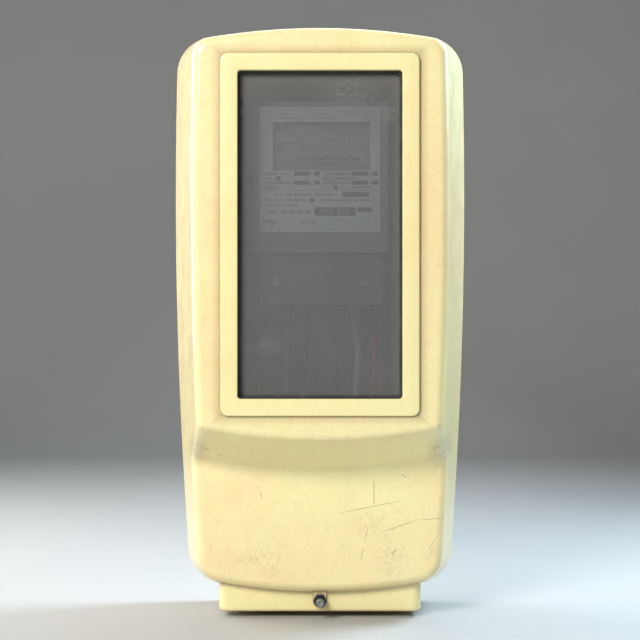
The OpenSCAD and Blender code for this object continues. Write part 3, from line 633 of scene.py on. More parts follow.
def aged_plastic(name, tint_warm=CREAM_WARM, marks=(), stains=(), shadows=(), dirt_and_border_shade=False):
    """Sun-aged cream plastic: uneven bleaching, pinkish dirt mixed with painted shade in the corners,
    painted dark shade in tight creases, specks and scratches.
    """
    s = Shader(name)
    broad = s.fit(s.noise(7, 4, 0.55), 0.32, 0.62)
    mottled = s.fit(s.noise(45, 8, 0.65, offset=(3, 1, 2)), 0.38, 0.66)
    tint = s.mix(broad, CREAM, tint_warm)
    tint = s.mix(s.math("MULTIPLY", mottled, 0.4), tint, CREAM_PALE)
    sandy = s.fit(s.noise(170, 9, 0.8, offset=(6, 3, 8)), 0.50, 0.72)
    tint = s.mix(s.math("MULTIPLY", sandy, 0.42 if dirt_and_border_shade else 0.14), tint, (0.74, 0.53, 0.28))
    # Painted shade mixed with dirt: an AO node turns the colour browner in hollows and beside raised parts,
    # where shade falls.
    open_near = s.hollow(0.010, 8)
    open_tight = s.hollow(0.0022, 6)
    broken = s.fit(s.noise(260, 8, 0.75), 0.36, 0.62)
    hollow_shade_and_dirt = s.math("MULTIPLY", s.fit(open_near, 0.93, 0.45),
                   s.math("ADD", s.math("MULTIPLY", broken, 0.55), 0.3))
    tint = s.mix(s.math("MULTIPLY", hollow_shade_and_dirt, 0.8), tint, (0.62, 0.40, 0.20))
    # Painted shade: near-black lines in tight creases and joints, found by a short AO reach and broken up by
    # noise like grime.
    crease_shade_and_grime = s.math("MULTIPLY", s.fit(open_tight, 0.85, 0.3),
                    s.math("ADD", s.math("MULTIPLY", broken, 0.5), 0.45))
    tint = s.mix(crease_shade_and_grime, tint, (0.115, 0.10, 0.06))
    # Painted shade round the window's raised border, dark brown and broken up like dirt; the same flag also
    # strengthens the sandy dirt above.
    if dirt_and_border_shade:
        band = s.math("MULTIPLY", border_shade_and_dirt(s, broken),
                      s.math("ADD", s.math("MULTIPLY", broken, 0.6), 0.4))
        tint = s.mix(s.math("MULTIPLY", band, 0.85), tint, (0.33, 0.21, 0.11))
    specks = s.math("MULTIPLY", s.fit(s.noise(520, 3, 0.5, offset=(5, 5, 5)), 0.675, 0.73),
                    s.fit(s.noise(24, 4, 0.6, offset=(9, 2, 4)), 0.44, 0.60))
    tint = s.mix(s.math("MULTIPLY", specks, 0.5), tint, (0.33, 0.22, 0.12))
    streaks = s.fit(s.noise(34, 6, 0.7, stretch=(1, 1, 0.10), offset=(7, 0, 1)), 0.56, 0.74)
    tint = s.mix(s.math("MULTIPLY", streaks, 0.14), tint, (0.66, 0.48, 0.27))
    scuffs = s.fit(s.noise(150, 2, 0.5, stretch=(1, 1, 0.35), distortion=2.5, offset=(2, 8, 3)), 0.66, 0.70)
    tint = s.mix(s.math("MULTIPLY", scuffs, 0.10), tint, (0.45, 0.36, 0.22))
    relief = s.noise(1400, 2, 0.5)
    # Painted shadows: darker greenish-brown ovals at the places given in shadows.
    if shadows:
        brow_end_shade = total(s, [blob(s, c, r) for c, r in shadows])
        brow_end_shade = s.math("MULTIPLY", s.math("POWER", brow_end_shade, 1.5),
                      s.math("ADD", s.math("MULTIPLY", broken, 0.5), 0.5))
        tint = s.mix(s.math("MULTIPLY", brow_end_shade, 0.45), tint, (0.36, 0.33, 0.19))
    if stains:
        patch = total(s, [blob(s, c, r) for c, r in stains])
        swirl = s.fit(s.noise(190, 5, 0.65, distortion=3.0), 0.52, 0.60)
        stain = s.math("MULTIPLY", patch, swirl)
        tint = s.mix(s.math("MULTIPLY", stain, 0.5), tint, (0.45, 0.35, 0.20))
    if marks:
        lines = total(s, [segment(s, *mark) for mark in marks])
        lines = s.math("MULTIPLY", lines, s.fit(s.noise(500, 3), 0.25, 0.5, 0.55, 1.0))
        tint = s.mix(s.math("MULTIPLY", lines, 0.85), tint, (0.22, 0.19, 0.13))
        relief = s.math("SUBTRACT", s.math("MULTIPLY", relief, 0.25), lines)
    rough = s.math("ADD", s.fit(mottled, 0, 1, 0.30, 0.42), s.math("MULTIPLY", hollow_shade_and_dirt, 0.25))
    s.bump(relief, 0.14, 0.0003, round_edges=0.0008)
    s.set(Base_Color=tint, Roughness=rough)
    return s.set(Specular_IOR_Level=0.5, Coat_Weight=0.5, Coat_Roughness=0.08)


def grained(name, tint, dark, rough=(0.4, 0.6), grain=900, strength=0.25, dust=0.15, edge=0.0005, spec=0.4):
    """Textured moulding or rubber with dust in its grain and softly rounded edges in its shading."""
    s = Shader(name)
    broad = s.fit(s.noise(30, 5, 0.6), 0.35, 0.68)
    color = s.mix(broad, tint, dark)
    dusty = s.fit(s.noise(120, 7, 0.7, offset=(4, 4, 1)), 0.5, 0.75)
    color = s.mix(s.math("MULTIPLY", dusty, dust), color, (0.5, 0.47, 0.41))
    fine = s.noise(grain, 3, 0.6)
    s.bump(fine, strength, 0.0003, round_edges=edge)
    return s.set(Base_Color=color, Roughness=s.fit(s.noise(80, 5), 0.3, 0.7, *rough),
                 Specular_IOR_Level=spec)


def metal(name, tint, dark, rough=(0.25, 0.45), stretch=(1, 1, 1), rust=0.0):
    """Plated or turned metal with a spangle, fine lines and a little tarnish."""
    s = Shader(name)
    flakes = s.fit(s.cells(140, (1, 1, 1)), 0.0, 0.7)
    color = s.mix(s.math("MULTIPLY", flakes, 0.35), tint, dark)
    tarnish = s.fit(s.noise(60, 7, 0.7), 0.48, 0.72)
    color = s.mix(s.math("MULTIPLY", tarnish, 0.5), color, dark)
    if rust:
        spots = s.fit(s.noise(220, 6, 0.7, offset=(1, 6, 2)), 0.60, 0.68)
        color = s.mix(s.math("MULTIPLY", spots, rust), color, (0.22, 0.09, 0.035))
    lines = s.noise(700, 2, 0.5, stretch)
    s.bump(lines, 0.12, 0.0002, round_edges=0.0004)
    return s.set(Base_Color=color, Roughness=s.fit(tarnish, 0, 1, *rough), Metallic=1.0)


def smoked_glass(name):
    """The hazed, smoke-tinted pane: a dusty grey film over a see-through tint."""
    s = Shader(name)
    x, z = s.axis("X"), s.axis("Z")
    frame_low, frame_high = 0.0723, 0.1437
    z_mid = middle_z("window_pane")
    haze = s.mix(s.fit(s.noise(20, 6, 0.6), 0.35, 0.65), (0.218, 0.217, 0.213), (0.204, 0.204, 0.204))
    ragged = s.fit(s.noise(300, 5, 0.7), 0.3, 0.7, -0.0015, 0.0015)
    left = s.fit(s.math("ADD", x, ragged), -frame_low + 0.009, -frame_low)
    right = s.fit(s.math("ADD", x, ragged), frame_low - 0.009, frame_low)
    top = s.fit(s.math("ADD", z, ragged), z_mid + frame_high - 0.013, z_mid + frame_high - 0.002)
    bottom = s.fit(s.math("ADD", z, ragged), z_mid - frame_high + 0.010, z_mid - frame_high)
    haze = s.mix(s.math("MULTIPLY", left, 0.7), haze, (0.31, 0.32, 0.37))
    haze = s.mix(s.math("MULTIPLY", right, 0.7), haze, (0.36, 0.34, 0.29))
    haze = s.mix(s.math("MULTIPLY", top, 0.6), haze, (0.32, 0.31, 0.26))
    haze = s.mix(s.math("MULTIPLY", bottom, 0.4), haze, (0.30, 0.29, 0.25))
    smears = total(s, [blob(s, (0.026, 0.201), (0.030, 0.018)), blob(s, (0.059, 0.183), (0.010, 0.012)),
                       blob(s, (-0.045, -0.022), (0.016, 0.012))])
    wisps = s.math("MULTIPLY", smears, s.fit(s.noise(330, 7, 0.7, distortion=0.6), 0.45, 0.72))
    haze = s.mix(s.math("MULTIPLY", wisps, 0.55), haze, (0.42, 0.41, 0.39))
    dots = s.fit(s.noise(900, 2, 0.5), 0.71, 0.76)
    haze = s.mix(s.math("MULTIPLY", dots, 0.25), haze, (0.09, 0.09, 0.09))
    s.bump(s.noise(1600, 2), 0.05, 0.0002)
    s.set(Base_Color=haze, Roughness=s.fit(s.noise(90, 5), 0.3, 0.7, 0.34, 0.5), Specular_IOR_Level=0.25)
    clear = s.tree.nodes.new("ShaderNodeBsdfTransparent")
    clear.inputs["Color"].default_value = (0.95, 0.96, 0.97, 1)
    blend = s.tree.nodes.new("ShaderNodeMixShader")
    s.put(s.fit(wisps, 0, 1, 0.385, 0.62), blend.inputs[0])
    s.tree.links.new(clear.outputs[0], blend.inputs[1])
    s.tree.links.new(s.principled.outputs[0], blend.inputs[2])
    s.tree.links.new(blend.outputs[0], s.output.inputs["Surface"])
    return s.material


def clear_plastic(name):
    s = Shader(name)
    s.set(Base_Color=s.mix(s.fit(s.noise(60, 4), 0.4, 0.7), (0.5, 0.52, 0.5), (0.42, 0.43, 0.4)),
          Roughness=s.fit(s.noise(200, 4), 0.3, 0.7, 0.06, 0.16))
    clear = s.tree.nodes.new("ShaderNodeBsdfTransparent")
    clear.inputs["Color"].default_value = (0.93, 0.94, 0.92, 1)
    blend = s.tree.nodes.new("ShaderNodeMixShader")
    blend.inputs[0].default_value = 0.05
    s.tree.links.new(clear.outputs[0], blend.inputs[1])
    s.tree.links.new(s.principled.outputs[0], blend.inputs[2])
    s.tree.links.new(blend.outputs[0], s.output.inputs["Surface"])
    return s.material


def printed(name, tint, dark, rough=0.35):
    s = Shader(name)
    broad = s.fit(s.noise(22, 5), 0.35, 0.7)
    s.bump(s.noise(800, 2), 0.05, 0.0002)
    return s.set(Base_Color=s.mix(broad, tint, dark),
                 Roughness=s.fit(s.noise(70, 4), 0.3, 0.7, rough, rough + 0.15))


def px(x, y):
    """Place on the lower panel seen at a spot of a 640-wide front view."""
    scale = FRAME_WIDTH / 640 * (CAMERA_DISTANCE + FRONT - LOWER) / CAMERA_DISTANCE
    return (x - 320) * scale, (320 - y) * scale


SCRATCHES = [
    (px(374, 479), px(374, 507), 0.00055, 0.15),
    (px(330, 515), px(412, 498.6), 0.0005, 0.35),
    (px(377, 534), px(421, 518.5), 0.0005, 0.3),
    (px(420, 520), px(445, 517.6), 0.00045, 0.2),
    (px(368, 527), px(365, 541), 0.00045, 0.3),
    (px(364, 545), px(360, 563), 0.00045, 0.3),
    (px(391, 554), px(398, 549), 0.0006, 0.2),
    (px(439.6, 532), px(426, 554), 0.0004, 0.4),
    (px(401, 474), px(407, 478), 0.0006, 0.3),
    (px(430, 448), px(439, 443), 0.0006, 0.3),
    (px(202, 443), px(213, 450), 0.0006, 0.3),
    (px(218, 452), px(222, 455), 0.0006, 0.2),
    (px(260, 488), px(262, 501), 0.0004, 0.3),
]
STAINS = [
    (px(392, 560), (0.022, 0.020)),
    (px(387, 537), (0.008, 0.008)),
    (px(432, 553), (0.014, 0.008)),
    (px(372, 522), (0.020, 0.016)),
    (px(262, 560), (0.030, 0.018)),
]

# Painted shadows at both ends of the brow, where the shade under it wraps round to the sides.
BROW_END_SHADOWS = [
    (px(439, 447), (0.017, 0.023)),
    (px(197, 448), (0.016, 0.021)),
]

cream_cover = aged_plastic("cream_cover", CREAM_PEACH, SCRATCHES, STAINS, BROW_END_SHADOWS, dirt_and_border_shade=True)
cream_frame = aged_plastic("cream_frame")
cream_box = aged_plastic("cream_box")
rubber = grained("black_rubber", (0.022, 0.023, 0.025), (0.04, 0.04, 0.042), (0.6, 0.8), 500, 0.3, 0.12)
zinc = metal("zinc_steel", (0.62, 0.63, 0.64), (0.38, 0.39, 0.40), (0.28, 0.5), rust=0.25)
# A darker copy of the zinc steel for the mounting plate: painted shade inside the box behind the wires; its
# rust spots are its own.
shaded_plate_steel = metal("shaded_plate_steel", (0.24, 0.245, 0.25), (0.15, 0.155, 0.16), (0.4, 0.6), rust=0.25)
dark_steel = metal("dark_steel", (0.085, 0.105, 0.14), (0.035, 0.042, 0.055), (0.35, 0.55), (1, 8, 1), 0.35)
seal_steel = metal("seal_steel", (0.36, 0.36, 0.345), (0.22, 0.225, 0.22), (0.5, 0.7), rust=0.1)
brass = metal("brass", (0.72, 0.52, 0.22), (0.42, 0.29, 0.12), (0.25, 0.45))
copper = metal("copper", (0.80, 0.42, 0.26), (0.42, 0.2, 0.12), (0.22, 0.42), (1, 1, 12))
pane_glass = smoked_glass("smoked_window")
lens = clear_plastic("clear_lens")
case_grey = grained("case_grey", (0.175, 0.18, 0.178), (0.145, 0.15, 0.15), (0.45, 0.6), 1100, 0.3, 0.12)
plate_face = printed("nameplate_face", (0.53, 0.56, 0.57), (0.46, 0.49, 0.495), 0.4)
lcd_face = printed("lcd_face", (0.47, 0.475, 0.42), (0.44, 0.445, 0.395), 0.3)
print_dark = printed("print_dark", (0.06, 0.062, 0.065), (0.08, 0.082, 0.085), 0.4)
print_soft = printed("print_soft", (0.17, 0.175, 0.18), (0.20, 0.205, 0.21), 0.4)
lcd_ink = printed("lcd_ink", (0.05, 0.055, 0.075), (0.06, 0.065, 0.085), 0.3)
board = grained("board_green", (0.03, 0.15, 0.07), (0.02, 0.10, 0.05), (0.25, 0.4), 300, 0.1, 0.05)
module_grey = grained("module_grey", (0.10, 0.115, 0.13), (0.07, 0.08, 0.09), (0.4, 0.55), 900, 0.25, 0.1)
tape_yellow = grained("transformer_yellow", (0.62, 0.45, 0.08), (0.5, 0.34, 0.06),
                     (0.35, 0.5), 300, 0.2, 0.05)
sleeve_blue = grained("capacitor_blue", (0.025, 0.04, 0.12), (0.015, 0.025, 0.07),
                     (0.2, 0.35), 300, 0.05, 0.03)
wrap_blue = grained("battery_wrap", (0.2, 0.32, 0.42), (0.14, 0.24, 0.34), (0.2, 0.35), 200, 0.06, 0.03)
potting = grained("core_dark", (0.03, 0.035, 0.04), (0.02, 0.022, 0.025), (0.3, 0.5), 200, 0.2, 0.05)
phenolic = grained("terminal_brown", (0.075, 0.045, 0.03), (0.05, 0.03, 0.02), (0.3, 0.45), 500, 0.15, 0.12)
block_grey = grained("block_grey", (0.07, 0.072, 0.075), (0.05, 0.05, 0.052), (0.35, 0.5), 600, 0.2, 0.15)
cover_dark = grained("terminal_cover_dark", (0.105, 0.095, 0.085), (0.085, 0.077, 0.07),
                    (0.4, 0.55), 1000, 0.3, 0.12)
pvc_red = grained("wire_red", (0.36, 0.035, 0.03), (0.28, 0.03, 0.026), (0.35, 0.5), 600, 0.08, 0.1, 0)
pvc_white = grained("wire_white", (0.36, 0.36, 0.35), (0.31, 0.31, 0.30), (0.35, 0.5), 600, 0.08, 0.1, 0)
pvc_black = grained("wire_black", (0.05, 0.05, 0.053), (0.04, 0.04, 0.042), (0.35, 0.5), 600, 0.08, 0.1, 0)

FINISH = {
    "cream_plastic": cream_box, "cream_paint": cream_box, "black_rubber": rubber, "zinc_steel": zinc,
    "dark_steel": dark_steel, "seal_steel": seal_steel, "brass": brass, "copper": copper,
    "smoked_window": pane_glass, "clear_lens": lens, "case_grey": case_grey,
    "nameplate_face": plate_face, "lcd_face": lcd_face, "board_green": board,
    "module_grey": module_grey, "transformer_yellow": tape_yellow, "capacitor_blue": sleeve_blue,
    "battery_wrap": wrap_blue, "core_dark": potting, "terminal_brown": phenolic,
    "block_grey": block_grey, "terminal_cover_dark": cover_dark, "wire_red": pvc_red,
    "wire_white": pvc_white, "wire_black": pvc_black,
}
SLOT_OF = {part["node"]: part["material_slot"] for part in frame["record"]["subparts"]}


def finish_frame():
    """The detailed materials on every CAD node that stays in sight."""
    for node, obj in NODES.items():
        for holder in [obj, *obj.children_recursive]:
            if holder.type == "MESH":
                for slot in holder.material_slots:
                    # The mounting plate takes the darker steel, which paints the shade inside the box.
                    slot.material = shaded_plate_steel if node == "mounting_plate" else FINISH[SLOT_OF[node]]


# ---------------------------------------------------------------- pieces


def merge(name, shapes, material, body, replaced=(), angle=40):
    """One piece out of several (vertices, faces) shapes."""
    vertices, faces = [], []
    for points, polygons in shapes:
        base = len(vertices)
        vertices += points
        faces += [tuple(base + i for i in polygon) for polygon in polygons]
    obj = make_object(name, vertices, faces, material, body, replaced)
    recalculate(obj)
    sharpen(obj, angle)
    return obj


def slab_shape(points, back, front):
    """A flat (x, z) outline made solid between two depths."""
    rings = [[(x, -p, z) for x, z in points] for p in (back, front)]
    return loft(rings, caps=(True, True))


def rect_shape(x0, x1, z0, z1, back, front):
    return slab_shape([(x0, z0), (x1, z0), (x1, z1), (x0, z1)], back, front)


def build_frame_border(material):
    """The window's raised border: rounded outer and inner edges and a lip down to the gasket."""
    low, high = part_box("window_frame")
    outer_w, outer_h = high.x - low.x, high.z - low.z
    mid = (low.z + high.z) / 2
    border_w = 0.0152
    face, back = FRONT, UPPER
    profile = [(0.0, back - 0.0004)]
    profile += [(0.0016 - 0.0016 * math.cos(a), face - 0.0016 + 0.0016 * math.sin(a))
                for a in np.linspace(0, math.pi / 2, 7)]
    profile += [(border_w - 0.0009 + 0.0009 * math.sin(a), face - 0.0009 + 0.0009 * math.cos(a))
                for a in np.linspace(0, math.pi / 2, 6)]
    profile += [(border_w, back - SKIN), (border_w - 0.0034, back - SKIN),
                (border_w - 0.0034, back - 0.0004)]
    obj = border("window_frame_border", outer_w, outer_h, 0.007, mid, profile, material, "cover",
                 ("window_frame",))
    lugs = []
    for x, z in retainer_places():
        rings = []
        for p, r in ((back - SKIN - 0.0045, 0.0034), (back - 0.0008, 0.0034)):
            rings.append([(x + r * math.cos(a), -p, z + r * math.sin(a))
                          for a in np.linspace(0, 2 * math.pi, 25)[:-1]])
        lugs.append(loft(rings, caps=(True, True)))
    merge("window_frame_posts", lugs, material, "cover")
    return obj


def retainer_places():
    """Middles of the retainer's screws, read from their solids' own vertices."""
    points = np.array([v.co for v in NODES["window_retainer_screws"].data.vertices])
    places = []
    for x, _, z in points:
        for place in places:
            if math.hypot(x - place[0][0], z - place[0][1]) < 0.012:
                place.append((x, z))
                break
        else:
            places.append([(x, z)])
    return [((min(p[0] for p in place) + max(p[0] for p in place)) / 2,
             (min(p[1] for p in place) + max(p[1] for p in place)) / 2) for place in places]


def build_neck(material):
    """The neck: a box open at the top with rounded upright edges and a chamfer below."""
    low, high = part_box("cable_neck")
    half, front, back = high.x, -low.y, -high.y
    bottom, top = low.z, high.z

    def plan(inset, z, radius):
        right = [(half - inset, -back)]
        right += [(half - radius + (radius - inset) * math.cos(a),
                   -(front - radius) - (radius - inset) * math.sin(a))
                  for a in np.linspace(0, math.pi / 2, 11)]
        left = [(-x, y) for x, y in right[::-1]]
        return [(x, y, z) for x, y in right + left]

    cut = 0.0030
    rings = [plan(cut, bottom, 0.009)]
    rings += [plan(cut - cut * math.sin(a), bottom + cut - cut * math.cos(a), 0.009)
              for a in np.linspace(0.2, math.pi / 2, 5)]
    rings += [plan(0, z, 0.009) for z in np.linspace(bottom + 0.006, top, 8)]
    vertices, faces = loft(rings, caps=(True, True))
    obj = make_object("neck_moulding", vertices, faces, material, "base",
                      ("cable_neck", "entry_plate"))
    recalculate(obj)
    wall = 0.003
    inner = [plan(wall, z, 0.009) for z in (bottom + wall, top + 0.01)]
    # The cutter reaches past the wall plane, so the neck is open at the back
    inner = [[(x, y + 0.01 if abs(y + back) < 1e-6 else y, z) for x, y, z in ring] for ring in inner]
    cutter = bpy.data.objects.new("cutter", bpy.data.meshes.new("cutter"))
    points, polygons = loft(inner, caps=(True, True))
    cutter.data.from_pydata(points, [], polygons)
    bpy.context.scene.collection.objects.link(cutter)
    recalculate(cutter)
    boolean(obj, cutter)
    grommet_low, grommet_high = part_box("cable_grommets")
    hole_x = grommet_high.x - 0.018
    hole_p = -(grommet_low.y + grommet_high.y) / 2
    for side in (-1, 1):
        boolean(obj, rod_cutter((side * hole_x, -hole_p, bottom - 0.002), (0, 0, 1), 0.015, 0.007))
    insert_low, insert_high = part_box("seal_screw_insert")
    seal_mid = (insert_low.z + insert_high.z) / 2
    boolean(obj, rod_cutter((0, -front - 0.001, seal_mid), (0, 1, 0), 0.004, 0.006))
    sharpen(obj, 35)
    return obj


def rod_cutter(start, axis, radius, length, count=48):
    axis = Vector(axis)
    side = axis.orthogonal().normalized()
    up = axis.cross(side)
    rings = [[tuple(Vector(start) + axis * t + (side * math.cos(a) + up * math.sin(a)) * radius)
              for a in np.linspace(0, 2 * math.pi, count + 1)[:-1]] for t in (0, length)]
    points, polygons = loft(rings, caps=(True, True))
    mesh = bpy.data.meshes.new("cutter")
    mesh.from_pydata(points, [], polygons)
    cutter = bpy.data.objects.new("cutter", mesh)
    bpy.context.scene.collection.objects.link(cutter)
    recalculate(cutter)
    return cutter


def build_lock(hex_material, head_material):
    """The sealing screw with a rounded cheese head and its hex bush."""
    low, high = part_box("seal_screw")
    z, r = (low.z + high.z) / 2, high.x
    head, tip = -low.y, -high.y
    base = head - 0.0046
    soft = 0.0006
    profile = [(0, 0), (0.0022, 0), (0.0025, 0.0003), (0.0025, base - tip)]
    profile += [(r - 0.0003, base - tip), (r, base - tip + 0.0003)]
    profile += [(r - soft + soft * math.cos(a), head - tip - soft + soft * math.sin(a))
                for a in np.linspace(0, math.pi / 2, 5)]
    profile += [(r - 0.0012, head - tip), (r - 0.0016, head - tip - 0.0002), (0, head - tip - 0.0002)]
    lathe("seal_screw_turned", profile, (0, -tip, z), (0, -1, 0), head_material, "seal_turner",
          ("seal_screw",), count=56)
    low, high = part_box("lock_bush")
    back, front = -high.y, -low.y
    collar = front - 0.003
    radius = high.x
    corner = 0.0004
    rings = []
    for p, inset in ((collar, corner), (collar + corner, 0), (front - corner, 0), (front, corner)):
        ring = []
        for k in range(6):
            a = math.radians(60 * k)
            for turn in (-0.09, 0.09):
                ring.append(((radius - inset) * 0.996 * math.cos(a + turn), -p,
                             z + (radius - inset) * 0.996 * math.sin(a + turn)))
        rings.append(ring)
    vertices, faces = loft(rings, caps=(True, True))
    obj = make_object("lock_bush_hex", vertices, faces, hex_material, "cover", ("lock_bush",))
    recalculate(obj)
    sleeve = rod_cutter((0, -back, z), (0, -1, 0), 0.004, collar + 0.0005 - back)
    boolean(obj, sleeve, "UNION")
    boolean(obj, rod_cutter((0, -back + 0.001, z), (0, -1, 0), 0.00256, 0.012))
    sharpen(obj, 30)


def smooth_route(points, steps=10):
    """Catmull-Rom curve through the points."""
    out = []
    n = len(points)
    pts = [Vector(p) for p in points]
    for i in range(n - 1):
        a, b, c, d = pts[max(i - 1, 0)], pts[i], pts[i + 1], pts[min(i + 2, n - 1)]
        for k in range(steps):
            t = k / steps
            out.append(0.5 * (2 * b + (c - a) * t + (2 * a - 5 * b + 4 * c - d) * t * t
                              + (3 * b - a - 3 * c + d) * t * t * t))
    return out + [pts[-1]]


def tube_shape(path, radius, sides=20):
    """A round tube along a path that runs mostly down."""
    rings = []
    for i, point in enumerate(path):
        tangent = (path[min(i + 1, len(path) - 1)] - path[max(i - 1, 0)]).normalized()
        across = Vector((1, 0, 0)) - tangent * tangent.x
        across.normalize()
        other = tangent.cross(across)
        rings.append([tuple(point + (across * math.cos(a) + other * math.sin(a)) * radius)
                      for a in np.linspace(0, 2 * math.pi, sides + 1)[:-1]])
    return loft(rings, caps=(True, True))


WIRE_Z = (46, 8, -30, -66, -120, -160, -176, -196)
WIRE_P = (50, 50, 54, 52, 48, 46.5, 46, 46)
WIRES = {
    "wire_red_left": ((-50, -50, -58, -57, -53, -50.5, -50, -50), pvc_red, "wire_red"),
    "wire_white_left": ((-30, -30, -32, -32.5, -32, -30.5, -30, -30), pvc_white, "wire_white"),
    "wire_black_left": ((-10, -10, -14, -16, -14, -10.5, -10, -10), pvc_black, "wire_black"),
    "wire_black_right": ((10, 10, 13.5, 14.5, 13, 10.5, 10, 10), pvc_black, "wire_black"),
    "wire_white_right": ((30, 30, 36, 34, 32, 30.5, 30, 30), pvc_white, "wire_white"),
    "wire_red_right": ((50, 50, 51, 50.5, 50, 50, 50, 50), pvc_red, "wire_red"),
}


def build_wires():
    for node, (xs, material, slot) in WIRES.items():
        route = [(x * MM, -p * MM, z * MM) for x, p, z in zip(xs, WIRE_P, WIRE_Z)]
        path = smooth_route(route)
        vertices, faces = tube_shape(path, 0.003)
        obj = make_object(node + "_insulation", vertices, faces, material, "base", (node,))
        recalculate(obj)
        sharpen(obj, 50)


# ---------------------------------------------------------------- the nameplate and the display

PLATE_P = depth_of("nameplate")
PRINT = 0.00006


def at_plate(x, y, depth):
    """Place on a plane behind the window seen at a spot of a 640-wide front view."""
    scale = FRAME_WIDTH / 640 * (CAMERA_DISTANCE + FRONT - depth) / CAMERA_DISTANCE
    return (x - 320) * scale, (320 - y) * scale


def bar(x0, y0, x1, y1, depth):
    (ax, az), (bx, bz) = at_plate(x0, y0, depth), at_plate(x1, y1, depth)
    return rect_shape(min(ax, bx), max(ax, bx), min(az, bz), max(az, bz), depth - PRINT / 2, depth + PRINT)


def words(x0, x1, y, height, depth, seed, gap=1.1):
    """A row of short blocks that stands for a printed line without spelling anything."""
    draw = np.random.default_rng(seed)
    shapes, x = [], x0
    while x < x1 - 0.8:
        width = min(draw.uniform(0.7, 1.5), x1 - x)
        if draw.random() > 0.13:
            rise = draw.uniform(0.0, 0.25) * height
            shapes.append(bar(x, y - height / 2 + rise, x + width, y + height / 2, depth))
        x += width + (gap * 0.45 if draw.random() > 0.2 else gap)
    return shapes


SEGMENTS = {"0": "abcdef", "1": "bc", "2": "abged", "4": "fgbc", "5": "afgcd", "8": "abcdefg"}


def digit(char, x, y, width, height, stroke, depth, slant=0.08):
    """A seven-segment figure with its upper left corner at a spot of the front view."""
    w, h, t = width, height, stroke
    places = {
        "a": (t * 0.6, 0, w - t * 0.6, 0), "d": (t * 0.6, h, w - t * 0.6, h),
        "g": (t * 0.6, h / 2, w - t * 0.6, h / 2),
        "f": (0, t * 0.6, 0, h / 2 - t * 0.4), "b": (w, t * 0.6, w, h / 2 - t * 0.4),
        "e": (0, h / 2 + t * 0.4, 0, h - t * 0.6), "c": (w, h / 2 + t * 0.4, w, h - t * 0.6),
    }
    shapes = []
    for name in SEGMENTS[char]:
        x0, y0, x1, y1 = places[name]
        if y0 == y1:
            outline = [(x0, y0), (x0 + t / 2, y0 - t / 2), (x1 - t / 2, y0 - t / 2), (x1, y0),
                       (x1 - t / 2, y0 + t / 2), (x0 + t / 2, y0 + t / 2)]
        else:
            outline = [(x0, y0), (x0 + t / 2, y0 + t / 2), (x0 + t / 2, y1 - t / 2), (x0, y1),
                       (x0 - t / 2, y1 - t / 2), (x0 - t / 2, y0 + t / 2)]
        points = [at_plate(x + px_ + slant * (h - py_), y + py_, depth) for px_, py_ in outline]
        shapes.append(slab_shape(points, depth - PRINT / 2, depth + PRINT))
    return shapes


def disc_shape(x, y, radius, depth, count=20):
    points = [at_plate(x + radius * math.cos(a), y + radius * math.sin(a), depth)
              for a in np.linspace(0, 2 * math.pi, count + 1)[:-1]]
    return slab_shape(points, depth - PRINT / 2, depth + PRINT)


def outline_box(x0, y0, x1, y1, depth, line=0.35):
    return [bar(x0, y0, x1, y0 + line, depth), bar(x0, y1 - line, x1, y1, depth),
            bar(x0, y0 + line, x0 + line, y1 - line, depth), bar(x1 - line, y0 + line, x1, y1 - line, depth)]


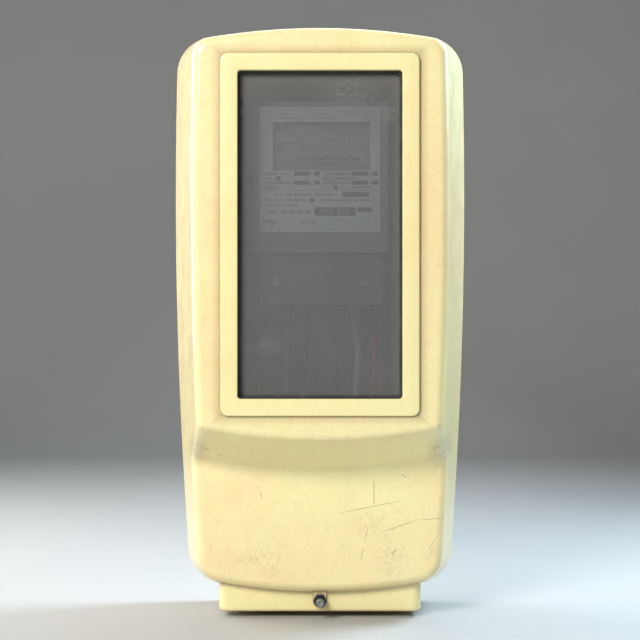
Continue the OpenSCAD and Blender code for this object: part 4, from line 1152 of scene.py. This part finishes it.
def build_prints():
    plate = PLATE_P
    dark, soft = [], []
    soft += words(276, 290, 114, 1.5, plate, 1) + words(277, 303, 118.4, 1.5, plate, 2)
    soft += words(315, 330, 114, 1.5, plate, 3) + words(314, 334, 118.4, 1.5, plate, 4)
    soft += words(350, 356, 114, 1.5, plate, 5)
    for y, seed in ((173.7, 11), (182.7, 12)):
        soft += words(264.5, 293, y, 3.0, plate, seed) + words(322.5, 351.5, y, 3.0, plate, seed + 20)
        dark += [bar(294, y - 2.0, 309.5, y + 2.0, plate), bar(314, y - 2.0, 319.6, y + 2.0, plate),
                 bar(352.3, y - 2.0, 368, y + 2.0, plate), bar(372.6, y - 2.0, 378, y + 2.0, plate)]
        soft += words(310.5, 313, y, 2.6, plate, seed + 40) + words(369, 371.5, y, 2.6, plate, seed + 41)
    soft += words(264.5, 275, 178.3, 2.6, plate, 13) + words(323, 357, 178.3, 2.6, plate, 14)
    dark.append(bar(276, 176.4, 280.7, 180.2, plate))
    soft += words(264.5, 281, 187.2, 2.6, plate, 15) + words(323, 332, 187.2, 2.6, plate, 16)
    dark.append(bar(333.2, 185.3, 338, 189.1, plate))
    soft += words(341, 370, 187.2, 2.6, plate, 17)
    soft.append(bar(260.6, 190.3, 379.9, 190.75, plate))
    soft += words(273.5, 338, 194.5, 3.2, plate, 18, 1.3)
    dark.append(bar(342.3, 192.2, 369, 196.9, plate))
    soft += words(265.5, 307, 200, 3.0, plate, 19) + words(322, 371, 200, 3.0, plate, 21)
    dark.append(bar(309.5, 198, 315, 202, plate))
    soft += words(265.5, 299, 205, 3.0, plate, 22)
    soft += words(267.5, 304, 212, 3.4, plate, 23) + words(306, 313, 211.5, 4.6, plate, 24)
    dark += [bar(314.3, 207.3, 355.8, 215.6, plate), bar(357.4, 207.3, 371.8, 212.4, plate)]
    soft += words(365, 371, 214.8, 2.2, plate, 25)
    soft += words(263.5, 276, 221.5, 4.6, plate, 26) + words(271, 275.5, 226.4, 2.6, plate, 27)
    for x0, x1 in ((278.5, 315.5), (317.5, 346.5), (351.5, 376.5)):
        soft += outline_box(x0, 219, x1, 229.3, plate)
        soft.append(bar(x0, 224.2, x1, 224.5, plate))
    soft += words(301, 315, 221.8, 3.4, plate, 28)
    soft += outline_box(373.5, 197.5, 377.5, 216, plate)
    merge("nameplate_boxes", dark, print_dark, "base")
    merge("nameplate_rows", soft, print_soft, "base")
    pale = []
    for k in range(3):
        for x in (321, 338):
            pale += digit("8", x + k * 4.3, 208.9, 2.3, 5.0, 0.42, plate + PRINT, 0.0)
    merge("nameplate_figures", pale, plate_face, "base")

    glass = depth_of("lcd_module")
    ink = []
    ink += [disc_shape(278, 127.6, 1.9, glass), disc_shape(286.1, 127.6, 1.9, glass)]
    ink += [bar(278, 136.0, 281, 136.6, glass), bar(289.3, 136.0, 292.3, 136.6, glass)]
    ink += words(276.5, 294.5, 143.4, 2.6, glass, 31) + words(276.5, 283, 149.6, 2.6, glass, 32)
    ink += words(300.5, 311.5, 149.6, 2.6, glass, 33)
    ink += [bar(315.35, 122.4, 315.65, 146.3, glass), bar(349.35, 122.4, 349.65, 146.3, glass)]
    ink += [bar(274.5, 146.35, 369, 146.6, glass), bar(276, 130.2, 315, 130.4, glass),
            bar(295.5, 130.4, 295.7, 146.3, glass)]
    for k, char in enumerate("1245"):
        ink += digit(char, 319.6 + 5.0 * k, 126.4, 3.0, 6.3, 0.85, glass)
    ink += words(339.5, 346, 135.4, 1.7, glass, 34) + words(330.5, 339, 139.5, 2.0, glass, 35)
    for k in range(7):
        x = 298.0 + 8.2 * k - (0.2 if k > 3 else 0)
        ink += digit("0", x, 156.6, 4.9, 8.8, 1.35, glass)
    ink.append(disc_shape(328.4, 165.2, 0.6, glass, 12))
    ink += words(354, 360, 158.8, 1.9, glass, 36)
    merge("display_figures", ink, lcd_ink, "base")


# ---------------------------------------------------------------- the floor


def build_floor():
    """A pale floor that curves up into a backdrop far behind the object."""
    s = Shader("studio_floor")
    s.set(Base_Color=s.mix(s.fit(s.noise(2, 4), 0.3, 0.7), (0.42, 0.42, 0.415), (0.45, 0.45, 0.445)),
          Roughness=0.7)
    section = [(-4.0, 0.0), (1.4, 0.0)]
    section += [(1.4 + 0.9 * math.sin(a), 0.9 - 0.9 * math.cos(a))
                for a in np.linspace(0.1, math.pi / 2, 14)]
    section += [(2.3, 4.0)]
    vertices = [(x, y, FLOOR_Z + z) for x in (-5, 5) for y, z in section]
    n = len(section)
    faces = [(i, i + 1, n + i + 1, n + i) for i in range(n - 1)]
    mesh = bpy.data.meshes.new("floor")
    mesh.from_pydata(vertices, [], faces)
    mesh.polygons.foreach_set("use_smooth", [True] * len(mesh.polygons))
    floor = bpy.data.objects.new("floor", mesh)
    floor.data.materials.append(s.material)
    bpy.context.scene.collection.objects.link(floor)


# ---------------------------------------------------------------- the whole

finish_frame()
build_floor()
build_cover(cream_cover)
build_frame_border(cream_frame)
build_neck(cream_box)
build_lock(dark_steel, seal_steel)
build_wires()
build_prints()
